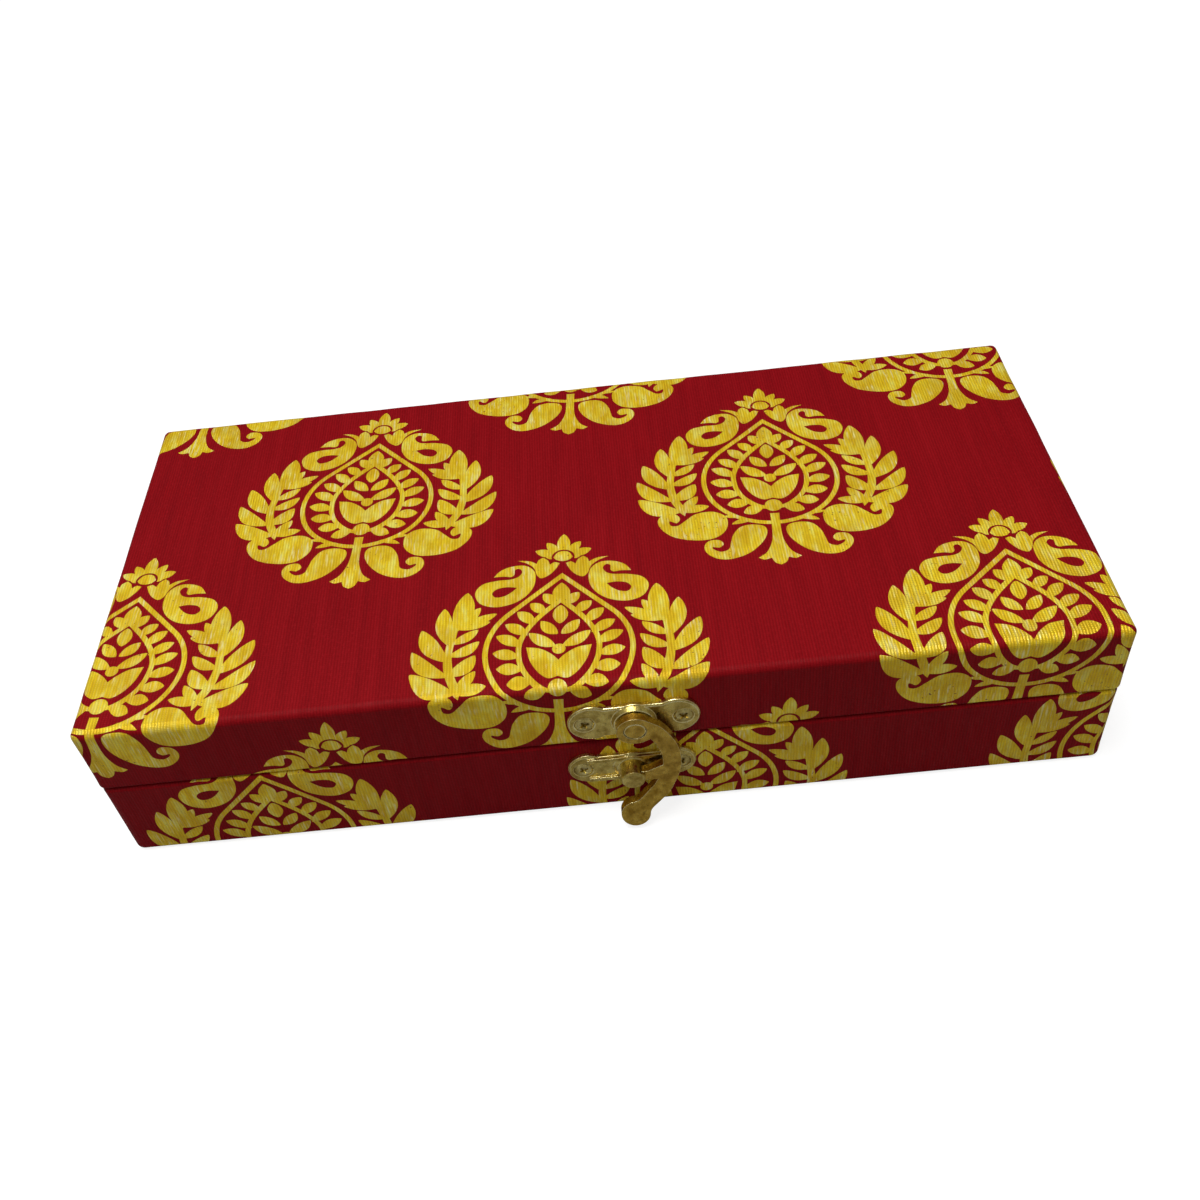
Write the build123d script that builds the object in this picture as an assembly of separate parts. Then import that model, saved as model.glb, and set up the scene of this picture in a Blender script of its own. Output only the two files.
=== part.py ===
from build123d import *
from math import atan2, degrees
import os

# A hinged gift box for banknotes: board panels wrapped in printed fabric, lined inside,
# with two butt hinges behind and a swing-hook clasp in front. Millimetres, +Z up.
# The origin is the centre of the box's underside; -Y is the front, where the clasp is.

# The box
BOX_LENGTH = 190.0
BOX_WIDTH = 90.0
BASE_HEIGHT = 20.0
LID_HEIGHT = 16.0
RIM_GAP = 0.3
BOARD = 3.0
FABRIC = 0.5
CORNER_RADIUS = 2.2
LID_EDGE_RADIUS = 2.0
BOARD_BEVEL = 1.0
TURN_IN = 7.0
HEM = 12.0
LINING = 0.5
FLOOR_PAD = 1.0
PAD_CLEARANCE = 0.1
UNDERSIDE_SHEET = 0.3
UNDERSIDE_MARGIN = 4.0

# The screws, all countersunk
SHANK_RADIUS = 0.8
SHANK_TIP_RADIUS = 0.3
HEAD_SIDES = 16
SCREW_REACH = 3.0
HOLE_CLEARANCE = 0.03
CLASP_HEAD_RADIUS = 1.9
HINGE_HEAD_RADIUS = 1.6

# The hinges
HINGE_INSET = 35.0
HINGE_LENGTH = 18.0
LEAF_HEIGHT = 7.5
LEAF = 0.8
KNUCKLE_RADIUS = 1.5
KNUCKLES = 3
KNUCKLE_GAP = 0.3
HINGE_STANDOFF = 0.3
PIN_RADIUS = 0.75
PIN_SEAT_CLEARANCE = 0.02
PIN_RUN_CLEARANCE = 0.05
HINGE_SCREW_SPREAD = 11.0
HINGE_SCREW_DROP = 4.9
LEAF_BEVEL = 0.8

# The clasp, measured from the hook's pivot
PIVOT_X = 5.6
PIVOT_Z = 26.4
STUD_X = 4.4
STUD_Z = 13.2
PLATE = 1.0
PLATE_EDGE = 0.3
UPPER_LOBE_RADIUS = 4.4
UPPER_LOBE_SPREAD = 15.4
UPPER_WEB = 7.4
LOWER_LOBE_RADIUS = 3.8
LOWER_LOBE_SPREAD = 16.6
LOWER_WEB = 6.4
UPPER_SCREW_SPREAD = 18.0
LOWER_SCREW_SPREAD = 18.4
BOSS_RADIUS = 4.1
BOSS_TOP_RADIUS = 3.7
BOSS_RISE = 0.9
COLLAR_RADIUS = 3.5
COLLAR_TOP_RADIUS = 2.8
COLLAR_RISE = 0.6
RIB_WIDTH = 0.9
RIB_RISE = 0.45
HOOK = 1.6
HOOK_GAP = 0.15
EYE_RADIUS = 3.4
ARM_WIDTH = 3.4
ARM_REACH = 8.0
ARM_DROP = 9.2
ARM_RADIUS = 16.0
ARM_ANGLE_UP = 38.0
ARM_ANGLE_DOWN = 34.0
NECK_RADIUS = 1.5
NECK_FILLET = 2.5
TAB_RADIUS = 2.8
TAB_OFFSET = 1.4
TAB_DROP = 22.5
RIVET_RADIUS = 1.3
RIVET_CLEARANCE = 0.06
RIVET_HEAD_RADIUS = 2.0
RIVET_HEAD = 0.6
RIVET_HEAD_CLEARANCE = 0.1
STUD_RADIUS = 2.25
STUD_TENON_RADIUS = 1.1
STUD_HEAD = 0.8
TONGUE_TIP_HEIGHT = 2.3
TONGUE_ROOT_HEIGHT = 2.7
TONGUE_REACH = 0.9
TONGUE_LENGTH = 1.9
TONGUE_WEDGE = 2.3
POCKET_FLOOR = 0.5
POCKET_CLEARANCE = 0.25
FLARE_START = 15.4
FLARE_OUT = 2.8
FLARE_LENGTH = 11.0
FLARE_RADIUS = 6.0

# Places that follow from the sizes above
HALF_LENGTH = BOX_LENGTH / 2
HALF_WIDTH = BOX_WIDTH / 2
FRONT = -HALF_WIDTH
BACK = HALF_WIDTH
TOP = BASE_HEIGHT + LID_HEIGHT
BASE_RIM = BASE_HEIGHT - RIM_GAP / 2
LID_RIM = BASE_HEIGHT + RIM_GAP / 2
HEM_LEVEL = UNDERSIDE_SHEET
BASE_CORE_LOW = HEM_LEVEL + FABRIC
BASE_CORE_HIGH = BASE_RIM - FABRIC
LID_CORE_LOW = LID_RIM + FABRIC
LID_CORE_HIGH = TOP - FABRIC
FLOOR = BASE_CORE_LOW + BOARD
CEILING = LID_CORE_HIGH - BOARD
CORE_LENGTH = BOX_LENGTH - 2 * FABRIC
CORE_WIDTH = BOX_WIDTH - 2 * FABRIC
WALL_LENGTH = CORE_LENGTH - 2 * BOARD
WALL_WIDTH = CORE_WIDTH - 2 * BOARD
TURNED_LENGTH = WALL_LENGTH - 2 * FABRIC
TURNED_WIDTH = WALL_WIDTH - 2 * FABRIC
LINED_LENGTH = TURNED_LENGTH - 2 * LINING
LINED_WIDTH = TURNED_WIDTH - 2 * LINING
PLATE_FACE = FRONT - PLATE
HOOK_BACK = PLATE_FACE - BOSS_RISE - HOOK_GAP
HOOK_FACE = HOOK_BACK - HOOK
AXIS_Y = BACK + HINGE_STANDOFF + KNUCKLE_RADIUS
AXIS_Z = BASE_HEIGHT
HINGE_PLACES = {"left": HINGE_INSET - HALF_LENGTH, "right": HALF_LENGTH - HINGE_INSET}


def slab(length, width, low, high):
    """A plain block over the origin, from one level to another."""
    return extrude(Plane.XY.offset(low) * Rectangle(length, width), high - low)


def rounded_slab(length, width, low, high, corner):
    """A block with round upright corners."""
    return extrude(Plane.XY.offset(low) * RectangleRounded(length, width, corner), high - low)


def frame_strip(length, width, thickness, low, high):
    """An upright strip round the inside of a length by width opening."""
    return slab(length, width, low, high) - slab(length - 2 * thickness, width - 2 * thickness, low, high)


def front_rod(x, z, radius, start, end):
    """A round bar along Y between two depths, seen from the front."""
    deep, near = max(start, end), min(start, end)
    return extrude(Plane(origin=(x, deep, z), x_dir=(1, 0, 0), z_dir=(0, -1, 0)) * Circle(radius), deep - near)


def face_plane(x, z, depth, outward):
    """A drawing plane at a depth that faces the front (outward -1) or the back (outward 1)."""
    return Plane(origin=(x, depth, z), x_dir=(-outward, 0, 0), z_dir=(0, outward, 0))


def front_cone(x, z, near_radius, far_radius, depth, rise):
    """A cone along Y that gets from far_radius to near_radius as it rises to the front."""
    return face_plane(x, z, depth - rise / 2, -1) * Cone(far_radius, near_radius, rise)


# Where the screws go: x and z on the face that they enter

def clasp_screw_places(centre_x, centre_z, spread):
    return [(centre_x - spread / 2, centre_z), (centre_x + spread / 2, centre_z)]


def hinge_screw_places(side):
    level = AXIS_Z + side * HINGE_SCREW_DROP
    return [
        (place + offset, level)
        for place in HINGE_PLACES.values()
        for offset in (-HINGE_SCREW_SPREAD / 2, HINGE_SCREW_SPREAD / 2)
    ]


UPPER_SCREWS = clasp_screw_places(PIVOT_X, PIVOT_Z, UPPER_SCREW_SPREAD)
LOWER_SCREWS = clasp_screw_places(STUD_X, STUD_Z, LOWER_SCREW_SPREAD)
BASE_HINGE_SCREWS = hinge_screw_places(-1)
LID_HINGE_SCREWS = hinge_screw_places(1)


def pilot_holes(front_places, back_places):
    """The holes through fabric and board, six-sided to keep the faces few."""
    outline = RegularPolygon(SHANK_RADIUS + HOLE_CLEARANCE, 6, major_radius=False)
    depth = SCREW_REACH + HOLE_CLEARANCE
    planes = [face_plane(x, z, FRONT, -1) for x, z in front_places]
    planes += [face_plane(x, z, BACK, 1) for x, z in back_places]
    return [extrude(plane * outline, -depth) for plane in planes]


# Board panels

def bevelled_core(low, high):
    """A block as large as the boards' outside, with its upright edges bevelled."""
    block = slab(CORE_LENGTH, CORE_WIDTH, low, high)
    return chamfer(block.edges().filter_by(Axis.Z), BOARD_BEVEL)


def base_core():
    return bevelled_core(BASE_CORE_LOW, BASE_CORE_HIGH)


def lid_core():
    """The lid's boards as one block, bevelled along the top too, under the soft edge."""
    block = bevelled_core(LID_CORE_LOW, LID_CORE_HIGH)
    return chamfer(block.faces().sort_by(Axis.Z)[-1].edges(), BOARD_BEVEL)


def four_walls(core, low, high, holes):
    """Cuts a block's sides into front, back, left and right boards, butted at the corners."""
    height = high - low
    middle = (low + high) / 2
    ring = core & slab(CORE_LENGTH, CORE_WIDTH, low, high)
    ring -= slab(WALL_LENGTH, WALL_WIDTH, low, high)
    ring -= holes
    across = (CORE_WIDTH - BOARD) / 2
    along = (CORE_LENGTH - BOARD) / 2
    cutters = {
        "front_wall": Pos(0, -across, middle) * Box(CORE_LENGTH, BOARD, height),
        "back_wall": Pos(0, across, middle) * Box(CORE_LENGTH, BOARD, height),
        "left_wall": Pos(-along, 0, middle) * Box(BOARD, WALL_WIDTH, height),
        "right_wall": Pos(along, 0, middle) * Box(BOARD, WALL_WIDTH, height),
    }
    return {name: ring & cutter for name, cutter in cutters.items()}


def base_boards():
    core = base_core()
    holes = pilot_holes(LOWER_SCREWS, BASE_HINGE_SCREWS)
    panel = core & slab(CORE_LENGTH, CORE_WIDTH, BASE_CORE_LOW, FLOOR)
    walls = four_walls(core, FLOOR, BASE_CORE_HIGH, holes)
    return {"base_bottom_panel": panel, **{f"base_{name}": wall for name, wall in walls.items()}}


def lid_boards():
    core = lid_core()
    holes = pilot_holes(UPPER_SCREWS, LID_HINGE_SCREWS)
    panel = core & slab(CORE_LENGTH, CORE_WIDTH, CEILING, LID_CORE_HIGH)
    walls = four_walls(core, LID_CORE_LOW, CEILING, holes)
    return {"lid_top_panel": panel, **{f"lid_{name}": wall for name, wall in walls.items()}}


# Fabric and linings

def base_cover():
    """The fabric band: down the four sides, hemmed underneath and turned in over the rim."""
    cover = rounded_slab(BOX_LENGTH, BOX_WIDTH, HEM_LEVEL, BASE_RIM, CORNER_RADIUS)
    cover -= base_core()
    cover -= slab(WALL_LENGTH, WALL_WIDTH, BASE_CORE_HIGH, BASE_RIM)
    cover -= slab(BOX_LENGTH - 2 * HEM, BOX_WIDTH - 2 * HEM, HEM_LEVEL, BASE_CORE_LOW)
    cover += frame_strip(WALL_LENGTH, WALL_WIDTH, FABRIC, BASE_RIM - TURN_IN, BASE_RIM)
    return cover - pilot_holes(LOWER_SCREWS, BASE_HINGE_SCREWS)


def lid_cover():
    """The fabric over the lid's top and sides, turned in over the rim."""
    cover = rounded_slab(BOX_LENGTH, BOX_WIDTH, LID_RIM, TOP, CORNER_RADIUS)
    cover = fillet(cover.faces().sort_by(Axis.Z)[-1].edges(), LID_EDGE_RADIUS)
    cover -= lid_core()
    cover -= slab(WALL_LENGTH, WALL_WIDTH, LID_RIM, LID_CORE_LOW)
    cover += frame_strip(WALL_LENGTH, WALL_WIDTH, FABRIC, LID_RIM, LID_RIM + TURN_IN)
    return cover - pilot_holes(UPPER_SCREWS, LID_HINGE_SCREWS)


def base_wall_lining():
    """A lining strip on the base's walls, which covers the fabric's turned-in edge."""
    edge = BASE_RIM - LINING
    strip = frame_strip(WALL_LENGTH, WALL_WIDTH, FABRIC + LINING, FLOOR, edge)
    return strip - frame_strip(WALL_LENGTH, WALL_WIDTH, FABRIC, BASE_RIM - TURN_IN, edge)


def lid_wall_lining():
    """The same strip in the lid."""
    edge = LID_RIM + LINING
    strip = frame_strip(WALL_LENGTH, WALL_WIDTH, FABRIC + LINING, edge, CEILING)
    return strip - frame_strip(WALL_LENGTH, WALL_WIDTH, FABRIC, edge, LID_RIM + TURN_IN)


def floor_pad(low, high):
    """A covered card that drops in between the wall linings."""
    return slab(LINED_LENGTH - 2 * PAD_CLEARANCE, LINED_WIDTH - 2 * PAD_CLEARANCE, low, high)


def underside_sheet():
    """The paper over the hem, pressed up to the board inside the hem's opening."""
    margin = 2 * UNDERSIDE_MARGIN
    sheet = slab(BOX_LENGTH - margin, BOX_WIDTH - margin, 0, UNDERSIDE_SHEET)
    return sheet + slab(BOX_LENGTH - 2 * HEM, BOX_WIDTH - 2 * HEM, UNDERSIDE_SHEET, BASE_CORE_LOW)


# Screws

def countersink(x, z, depth, outward, thickness, head_radius, clearance):
    """The cone that a screw's head fills in a plate, opening outward from the fabric."""
    cone = Cone(SHANK_RADIUS + clearance, head_radius + clearance, thickness)
    return face_plane(x, z, depth, outward) * Pos(0, 0, thickness / 2) * cone


def narrowing_post(sides, radius, end_radius, top, length):
    """A many-sided post that narrows on its way down from its top."""
    slope = degrees(atan2(radius - end_radius, length))
    return Pos(0, 0, top) * Rot(180, 0, 0) * extrude(RegularPolygon(radius, sides), length, taper=slope)


def wood_screw(x, z, depth, outward, thickness, head_radius):
    """A countersunk screw, flush with its plate, with few sides because there are many of them."""
    head = narrowing_post(HEAD_SIDES, head_radius, SHANK_RADIUS, thickness, thickness)
    shank = narrowing_post(6, SHANK_RADIUS, SHANK_TIP_RADIUS, 0, SCREW_REACH)
    return face_plane(x, z, depth, outward) * (head + shank)


def clasp_screws(places):
    return Compound(children=[wood_screw(x, z, FRONT, -1, PLATE, CLASP_HEAD_RADIUS) for x, z in places])


def hinge_screws(places):
    return Compound(children=[wood_screw(x, z, BACK, 1, LEAF, HINGE_HEAD_RADIUS) for x, z in places])


# Hinges

def knuckle_spans():
    """Each knuckle's start and end along the hinge, from its left end."""
    width = (HINGE_LENGTH - (KNUCKLES - 1) * KNUCKLE_GAP) / KNUCKLES
    step = width + KNUCKLE_GAP
    return [(i * step - HINGE_LENGTH / 2, i * step - HINGE_LENGTH / 2 + width) for i in range(KNUCKLES)]


def hinge_leaf(centre, side, own, bore):
    """A leaf below the pin (side -1) or above it (side 1), with every other knuckle rolled on."""
    clear = KNUCKLE_RADIUS + KNUCKLE_GAP
    far = Pos(centre, BACK + LEAF / 2, AXIS_Z + side * (clear + LEAF_HEIGHT) / 2)
    plate = far * Box(HINGE_LENGTH, LEAF, LEAF_HEIGHT - clear)
    outer_end = plate.faces().sort_by(Axis.Z)[-1 if side > 0 else 0]
    plate = chamfer(outer_end.edges().filter_by(Axis.Y), LEAF_BEVEL)
    for start, end in [span for i, span in enumerate(knuckle_spans()) if i % 2 == own]:
        width = end - start
        middle = centre + (start + end) / 2
        tongue_middle = AXIS_Z + side * (clear + HINGE_STANDOFF) / 2
        tongue = Pos(middle, BACK + LEAF / 2, tongue_middle) * Box(width, LEAF, clear - HINGE_STANDOFF)
        barrel = Pos(middle, AXIS_Y, AXIS_Z) * Rot(0, 90, 0) * Cylinder(KNUCKLE_RADIUS, width)
        plate += tongue + barrel
    plate -= Pos(centre, AXIS_Y, AXIS_Z) * Rot(0, 90, 0) * Cylinder(bore, HINGE_LENGTH)
    for offset in (-HINGE_SCREW_SPREAD / 2, HINGE_SCREW_SPREAD / 2):
        x, z = centre + offset, AXIS_Z + side * HINGE_SCREW_DROP
        plate -= countersink(x, z, BACK, 1, LEAF, HINGE_HEAD_RADIUS, HOLE_CLEARANCE)
    return plate


def hinge_pin(centre):
    return Pos(centre, AXIS_Y, AXIS_Z) * Rot(0, 90, 0) * Cylinder(PIN_RADIUS, HINGE_LENGTH)


# Clasp

def plate_outline(lobe, spread, web, middle):
    """Two round lobes joined by a narrower web, with a disc at the middle."""
    outline = Rectangle(spread, web) + Circle(middle)
    return outline + [Pos(end * spread / 2, 0) * Circle(lobe) for end in (-1, 1)]


def pressed_plate(x, z, outline):
    """A plate of the given outline with its front edge broken, flat against the fabric."""
    plate = extrude(face_plane(x, z, FRONT, -1) * outline, PLATE)
    front_face = plate.faces().sort_by(Axis.Y)[0]
    return chamfer(front_face.edges(), PLATE_EDGE)


def clasp_countersinks(places):
    return [countersink(x, z, FRONT, -1, PLATE, CLASP_HEAD_RADIUS, HOLE_CLEARANCE) for x, z in places]


def upper_plate():
    """The lid's plate: lobes for two screws and a raised boss that carries the hook."""
    outline = plate_outline(UPPER_LOBE_RADIUS, UPPER_LOBE_SPREAD, UPPER_WEB, BOSS_RADIUS)
    plate = pressed_plate(PIVOT_X, PIVOT_Z, outline)
    plate += front_cone(PIVOT_X, PIVOT_Z, BOSS_TOP_RADIUS, BOSS_RADIUS, PLATE_FACE, BOSS_RISE)
    plate -= front_rod(PIVOT_X, PIVOT_Z, RIVET_RADIUS + PIN_SEAT_CLEARANCE, FRONT, HOOK_BACK)
    return plate - clasp_countersinks(UPPER_SCREWS)


def rib(side):
    """One of the lower plate's raised ribs, from lobe to lobe along its upper or lower edge."""
    height = side * (LOWER_WEB - RIB_WIDTH) / 2
    line = Pos(0, height) * Rectangle(LOWER_LOBE_SPREAD, RIB_WIDTH)
    return extrude(face_plane(STUD_X, STUD_Z, PLATE_FACE, -1) * line, RIB_RISE)


def lower_plate():
    """The base's plate: lobes for two screws, two ribs and a collar round the stud."""
    outline = plate_outline(LOWER_LOBE_RADIUS, LOWER_LOBE_SPREAD, LOWER_WEB, COLLAR_RADIUS)
    plate = pressed_plate(STUD_X, STUD_Z, outline) + rib(1) + rib(-1)
    plate += front_cone(STUD_X, STUD_Z, COLLAR_TOP_RADIUS, COLLAR_RADIUS, PLATE_FACE, COLLAR_RISE)
    tenon_hole = STUD_TENON_RADIUS + PIN_SEAT_CLEARANCE
    plate -= front_rod(STUD_X, STUD_Z, tenon_hole, FRONT, PLATE_FACE - COLLAR_RISE)
    return plate - clasp_countersinks(LOWER_SCREWS)


def stud():
    """The catch post on the lower plate, with a pocket in its side for the hook's tongue."""
    shoulder = PLATE_FACE - COLLAR_RISE
    face = HOOK_FACE - POCKET_CLEARANCE - STUD_HEAD
    post = front_rod(STUD_X, STUD_Z, STUD_RADIUS, shoulder, face)
    post = chamfer(post.edges().filter_by(GeomType.CIRCLE).sort_by(Axis.Y)[0], PLATE_EDGE)
    post += front_rod(STUD_X, STUD_Z, STUD_TENON_RADIUS, FRONT, shoulder)
    width = STUD_RADIUS - POCKET_FLOOR
    depth = HOOK + 2 * POCKET_CLEARANCE
    height = TONGUE_ROOT_HEIGHT + 2 * POCKET_CLEARANCE
    centre = Pos(STUD_X + POCKET_FLOOR + width / 2, (HOOK_BACK + HOOK_FACE) / 2, STUD_Z)
    return post - centre * Box(width, depth, height)


def rivet():
    """The rivet that the hook turns on, fixed in the upper plate, its head sunk in the hook's eye."""
    head_back = HOOK_FACE + RIVET_HEAD
    shaft = front_rod(PIVOT_X, PIVOT_Z, RIVET_RADIUS, FRONT, head_back)
    return shaft + front_rod(PIVOT_X, PIVOT_Z, RIVET_HEAD_RADIUS, head_back, HOOK_FACE)


def tongue_outline():
    """The wedge on the inside of the hook's arm, whose tip enters the stud's pocket."""
    level = STUD_Z - PIVOT_Z
    tip = STUD_X - PIVOT_X + TONGUE_REACH
    root = tip + TONGUE_LENGTH
    arm = ARM_REACH - ARM_WIDTH / 2
    lower = [(tip, level - TONGUE_TIP_HEIGHT / 2), (root, level - TONGUE_ROOT_HEIGHT / 2)]
    joint = [(arm, level - TONGUE_ROOT_HEIGHT / 2), (arm, level + TONGUE_ROOT_HEIGHT / 2 + TONGUE_WEDGE)]
    upper = [(root, level + TONGUE_ROOT_HEIGHT / 2), (tip, level + TONGUE_TIP_HEIGHT / 2)]
    return Polygon(*lower, *joint, *upper, align=None)


def bridged(first, first_radius, second, second_radius):
    """Two discs with the two tangents that join them."""
    discs = [Pos(*first) * Circle(first_radius), Pos(*second) * Circle(second_radius)]
    return make_hull([edge for disc in discs for edge in disc.edges()])


def hook_outline():
    """The hook's face, drawn from its pivot: eye, curved arm, tongue, neck and round finger tab."""
    centre = (ARM_REACH - ARM_RADIUS, -ARM_DROP)
    sweep = ARM_ANGLE_UP + ARM_ANGLE_DOWN
    middle = CenterArc(centre, ARM_RADIUS - ARM_WIDTH / 2, -ARM_ANGLE_DOWN, sweep)
    low, high = middle @ 0, middle @ 1
    shoulder = bridged((0, 0), EYE_RADIUS, (high.X, high.Y), ARM_WIDTH / 2)
    tab = Pos(-TAB_OFFSET, -TAB_DROP)
    neck = bridged((low.X, low.Y), ARM_WIDTH / 2, (-TAB_OFFSET, -TAB_DROP), NECK_RADIUS)
    handle = neck + tab * Circle(TAB_RADIUS)
    corners = [v for v in handle.vertices() if abs((v.center() - tab.position).length - TAB_RADIUS) < 0.001]
    return SlotArc(middle, ARM_WIDTH) + shoulder + fillet(corners, NECK_FILLET) + tongue_outline()


def flared_strip():
    """The hook's side view, seen along X: flat down to the tongue, then leaning out to the tab."""
    high = PIVOT_Z + 2 * EYE_RADIUS
    bend = PIVOT_Z - FLARE_START
    tip = bend - 2 * FLARE_LENGTH
    lean = 2 * FLARE_OUT
    side = Plane(origin=(PIVOT_X - 2 * ARM_REACH, 0, 0), x_dir=(0, 1, 0), z_dir=(1, 0, 0))
    back = [(HOOK_BACK, high), (HOOK_BACK, bend), (HOOK_BACK - lean, tip)]
    face = [(HOOK_FACE - lean, tip), (HOOK_FACE, bend), (HOOK_FACE, high)]
    profile = make_face(Polyline(*back, *face, close=True))
    bends = profile.vertices().sort_by(Axis.Y)[2:4]
    return extrude(side * fillet(bends, FLARE_RADIUS), 4 * ARM_REACH)


def hook():
    """The swing hook: its outline cut from the flared strip, drilled and sunk for the rivet."""
    blank = extrude(face_plane(PIVOT_X, PIVOT_Z, FRONT, -1) * hook_outline(), 4 * ARM_WIDTH)
    body = blank & flared_strip()
    sink = RIVET_HEAD + RIVET_HEAD_CLEARANCE
    seat_radius = RIVET_HEAD_RADIUS + RIVET_HEAD_CLEARANCE
    body -= front_rod(PIVOT_X, PIVOT_Z, seat_radius, HOOK_FACE + sink, HOOK_FACE)
    return body - front_rod(PIVOT_X, PIVOT_Z, RIVET_RADIUS + RIVET_CLEARANCE, HOOK_BACK, HOOK_FACE)


def all_parts():
    parts = {**base_boards(), **lid_boards()}
    parts["base_cover"] = base_cover()
    parts["base_wall_lining"] = base_wall_lining()
    parts["base_floor_lining"] = floor_pad(FLOOR, FLOOR + FLOOR_PAD)
    parts["base_underside_sheet"] = underside_sheet()
    parts["lid_cover"] = lid_cover()
    parts["lid_wall_lining"] = lid_wall_lining()
    parts["lid_ceiling_lining"] = floor_pad(CEILING - FLOOR_PAD, CEILING)
    for name, centre in HINGE_PLACES.items():
        seat = PIN_RADIUS + PIN_SEAT_CLEARANCE
        parts[f"hinge_{name}_base_leaf"] = hinge_leaf(centre, -1, 0, seat)
        parts[f"hinge_{name}_lid_leaf"] = hinge_leaf(centre, 1, 1, PIN_RADIUS + PIN_RUN_CLEARANCE)
        parts[f"hinge_{name}_pin"] = hinge_pin(centre)
    parts["hinge_base_screws"] = hinge_screws(BASE_HINGE_SCREWS)
    parts["hinge_lid_screws"] = hinge_screws(LID_HINGE_SCREWS)
    parts["clasp_upper_plate"] = upper_plate()
    parts["clasp_upper_screws"] = clasp_screws(UPPER_SCREWS)
    parts["clasp_rivet"] = rivet()
    parts["clasp_lower_plate"] = lower_plate()
    parts["clasp_lower_screws"] = clasp_screws(LOWER_SCREWS)
    parts["clasp_stud"] = stud()
    parts["clasp_hook"] = hook()
    return parts


os.makedirs("parts", exist_ok=True)
for name, shape in all_parts().items():
    export_step(shape, f"parts/{name}.step")
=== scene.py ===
from math import acos, ceil, cos, dist, pi, radians, sin, sqrt, tan

import bmesh
import bpy
import numpy as np
from mathutils import Matrix, Vector
from mathutils.geometry import delaunay_2d_cdt

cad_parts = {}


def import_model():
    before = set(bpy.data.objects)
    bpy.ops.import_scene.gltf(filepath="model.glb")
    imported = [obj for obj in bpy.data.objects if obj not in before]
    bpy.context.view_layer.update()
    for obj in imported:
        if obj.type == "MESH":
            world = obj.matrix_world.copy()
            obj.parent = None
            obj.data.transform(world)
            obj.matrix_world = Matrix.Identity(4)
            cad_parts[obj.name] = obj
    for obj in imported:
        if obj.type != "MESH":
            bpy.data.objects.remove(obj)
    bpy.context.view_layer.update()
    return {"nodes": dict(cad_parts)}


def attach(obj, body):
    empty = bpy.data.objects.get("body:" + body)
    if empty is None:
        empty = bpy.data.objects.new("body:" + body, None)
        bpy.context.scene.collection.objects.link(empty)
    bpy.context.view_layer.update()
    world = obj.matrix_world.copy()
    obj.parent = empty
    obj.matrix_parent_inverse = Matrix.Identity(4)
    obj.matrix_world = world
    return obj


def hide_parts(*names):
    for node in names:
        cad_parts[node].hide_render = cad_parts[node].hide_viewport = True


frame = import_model()
nodes = frame["nodes"]

MM = 0.001

# The box's driving sizes in millimetres, the same as the CAD's
BOX_LENGTH, BOX_WIDTH = 190.0, 90.0
BASE_HEIGHT, LID_HEIGHT = 20.0, 16.0
RIM_GAP = 0.3
BOARD_DEPTH = 3.0
FABRIC = 0.5
LINING_DEPTH = 0.5
TURN_IN = 7.0
HEM = 12.0
UNDERSIDE_SHEET = 0.3
UNDERSIDE_MARGIN = 4.0
PAD_DEPTH = 1.0
PAD_CLEARANCE = 0.1

# The rounding that the cloth takes over the boards' edges
EDGE_ROUND = 2.1
LID_ROUND = 1.5
RIM_ROUND = 0.8
HEM_ROUND = 0.9
FADE_LENGTH = 3

# The clasp and the hinges, where their screws need them
CLASP_FACE = -46.0
UPPER_PLATE_AT, UPPER_SCREW_SPREAD = (5.6, 26.4), 18.0
LOWER_PLATE_AT, LOWER_SCREW_SPREAD = (4.4, 13.2), 18.4
CLASP_SCREW_RADIUS = 1.78
LEAF_FACE = 45.8
HINGE_INSET = 35.0
HINGE_SCREW_SPREAD = 11.0
HINGE_SCREW_DROP = 4.9
HINGE_SCREW_RADIUS = 1.5

# Places that follow from the sizes above
HALF_X, HALF_Y = BOX_LENGTH / 2, BOX_WIDTH / 2
PERIMETER = 2 * (BOX_LENGTH + BOX_WIDTH)
TOP = BASE_HEIGHT + LID_HEIGHT
BASE_RIM = BASE_HEIGHT - RIM_GAP / 2
LID_RIM = BASE_HEIGHT + RIM_GAP / 2
RIM_WIDTH = BOARD_DEPTH + 2 * FABRIC
HEM_LEVEL = UNDERSIDE_SHEET
FLOOR = HEM_LEVEL + FABRIC + BOARD_DEPTH
CEILING = TOP - FABRIC - BOARD_DEPTH
LINED_X, LINED_Y = HALF_X - RIM_WIDTH - LINING_DEPTH, HALF_Y - RIM_WIDTH - LINING_DEPTH

# The print: crown tips on a half-drop lattice, turned a little on the lid. The base's are along its band.
PERIOD = 83.7
ROW_STEP = 44.4
MOTIF_REACH, MOTIF_RISE, MOTIF_FALL = 32, 4, 60
LID_PRINT_TURN = -3.8
LID_PRINT_AT = (-4.6, -4.85)
BASE_PRINTS = [
    (30.2, 30.9), (113.3, 33.6), (195.2, 34.4), (281.3, 32.4), (365.0, 31.6), (448.7, 31.2), (532.4, 30.8)]
FRONT_PULL = 2.0
FRONT_PULL_START, FRONT_PULL_LENGTH = 6, 10

# Steps of the cloth's mesh, and how far its lines stop short of a corner
CURVE_STEP = 0.5
LEVEL_STEP = 3.5
EDGE_STEP = 3
FOLD_STEP = 4
CROSS_STEP = 5
PANEL_STEP = 6
SHORT = 0.001


def add_object(name, data):
    made = bpy.data.objects.new(name, data)
    bpy.context.scene.collection.objects.link(made)
    return made


# Materials

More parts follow.
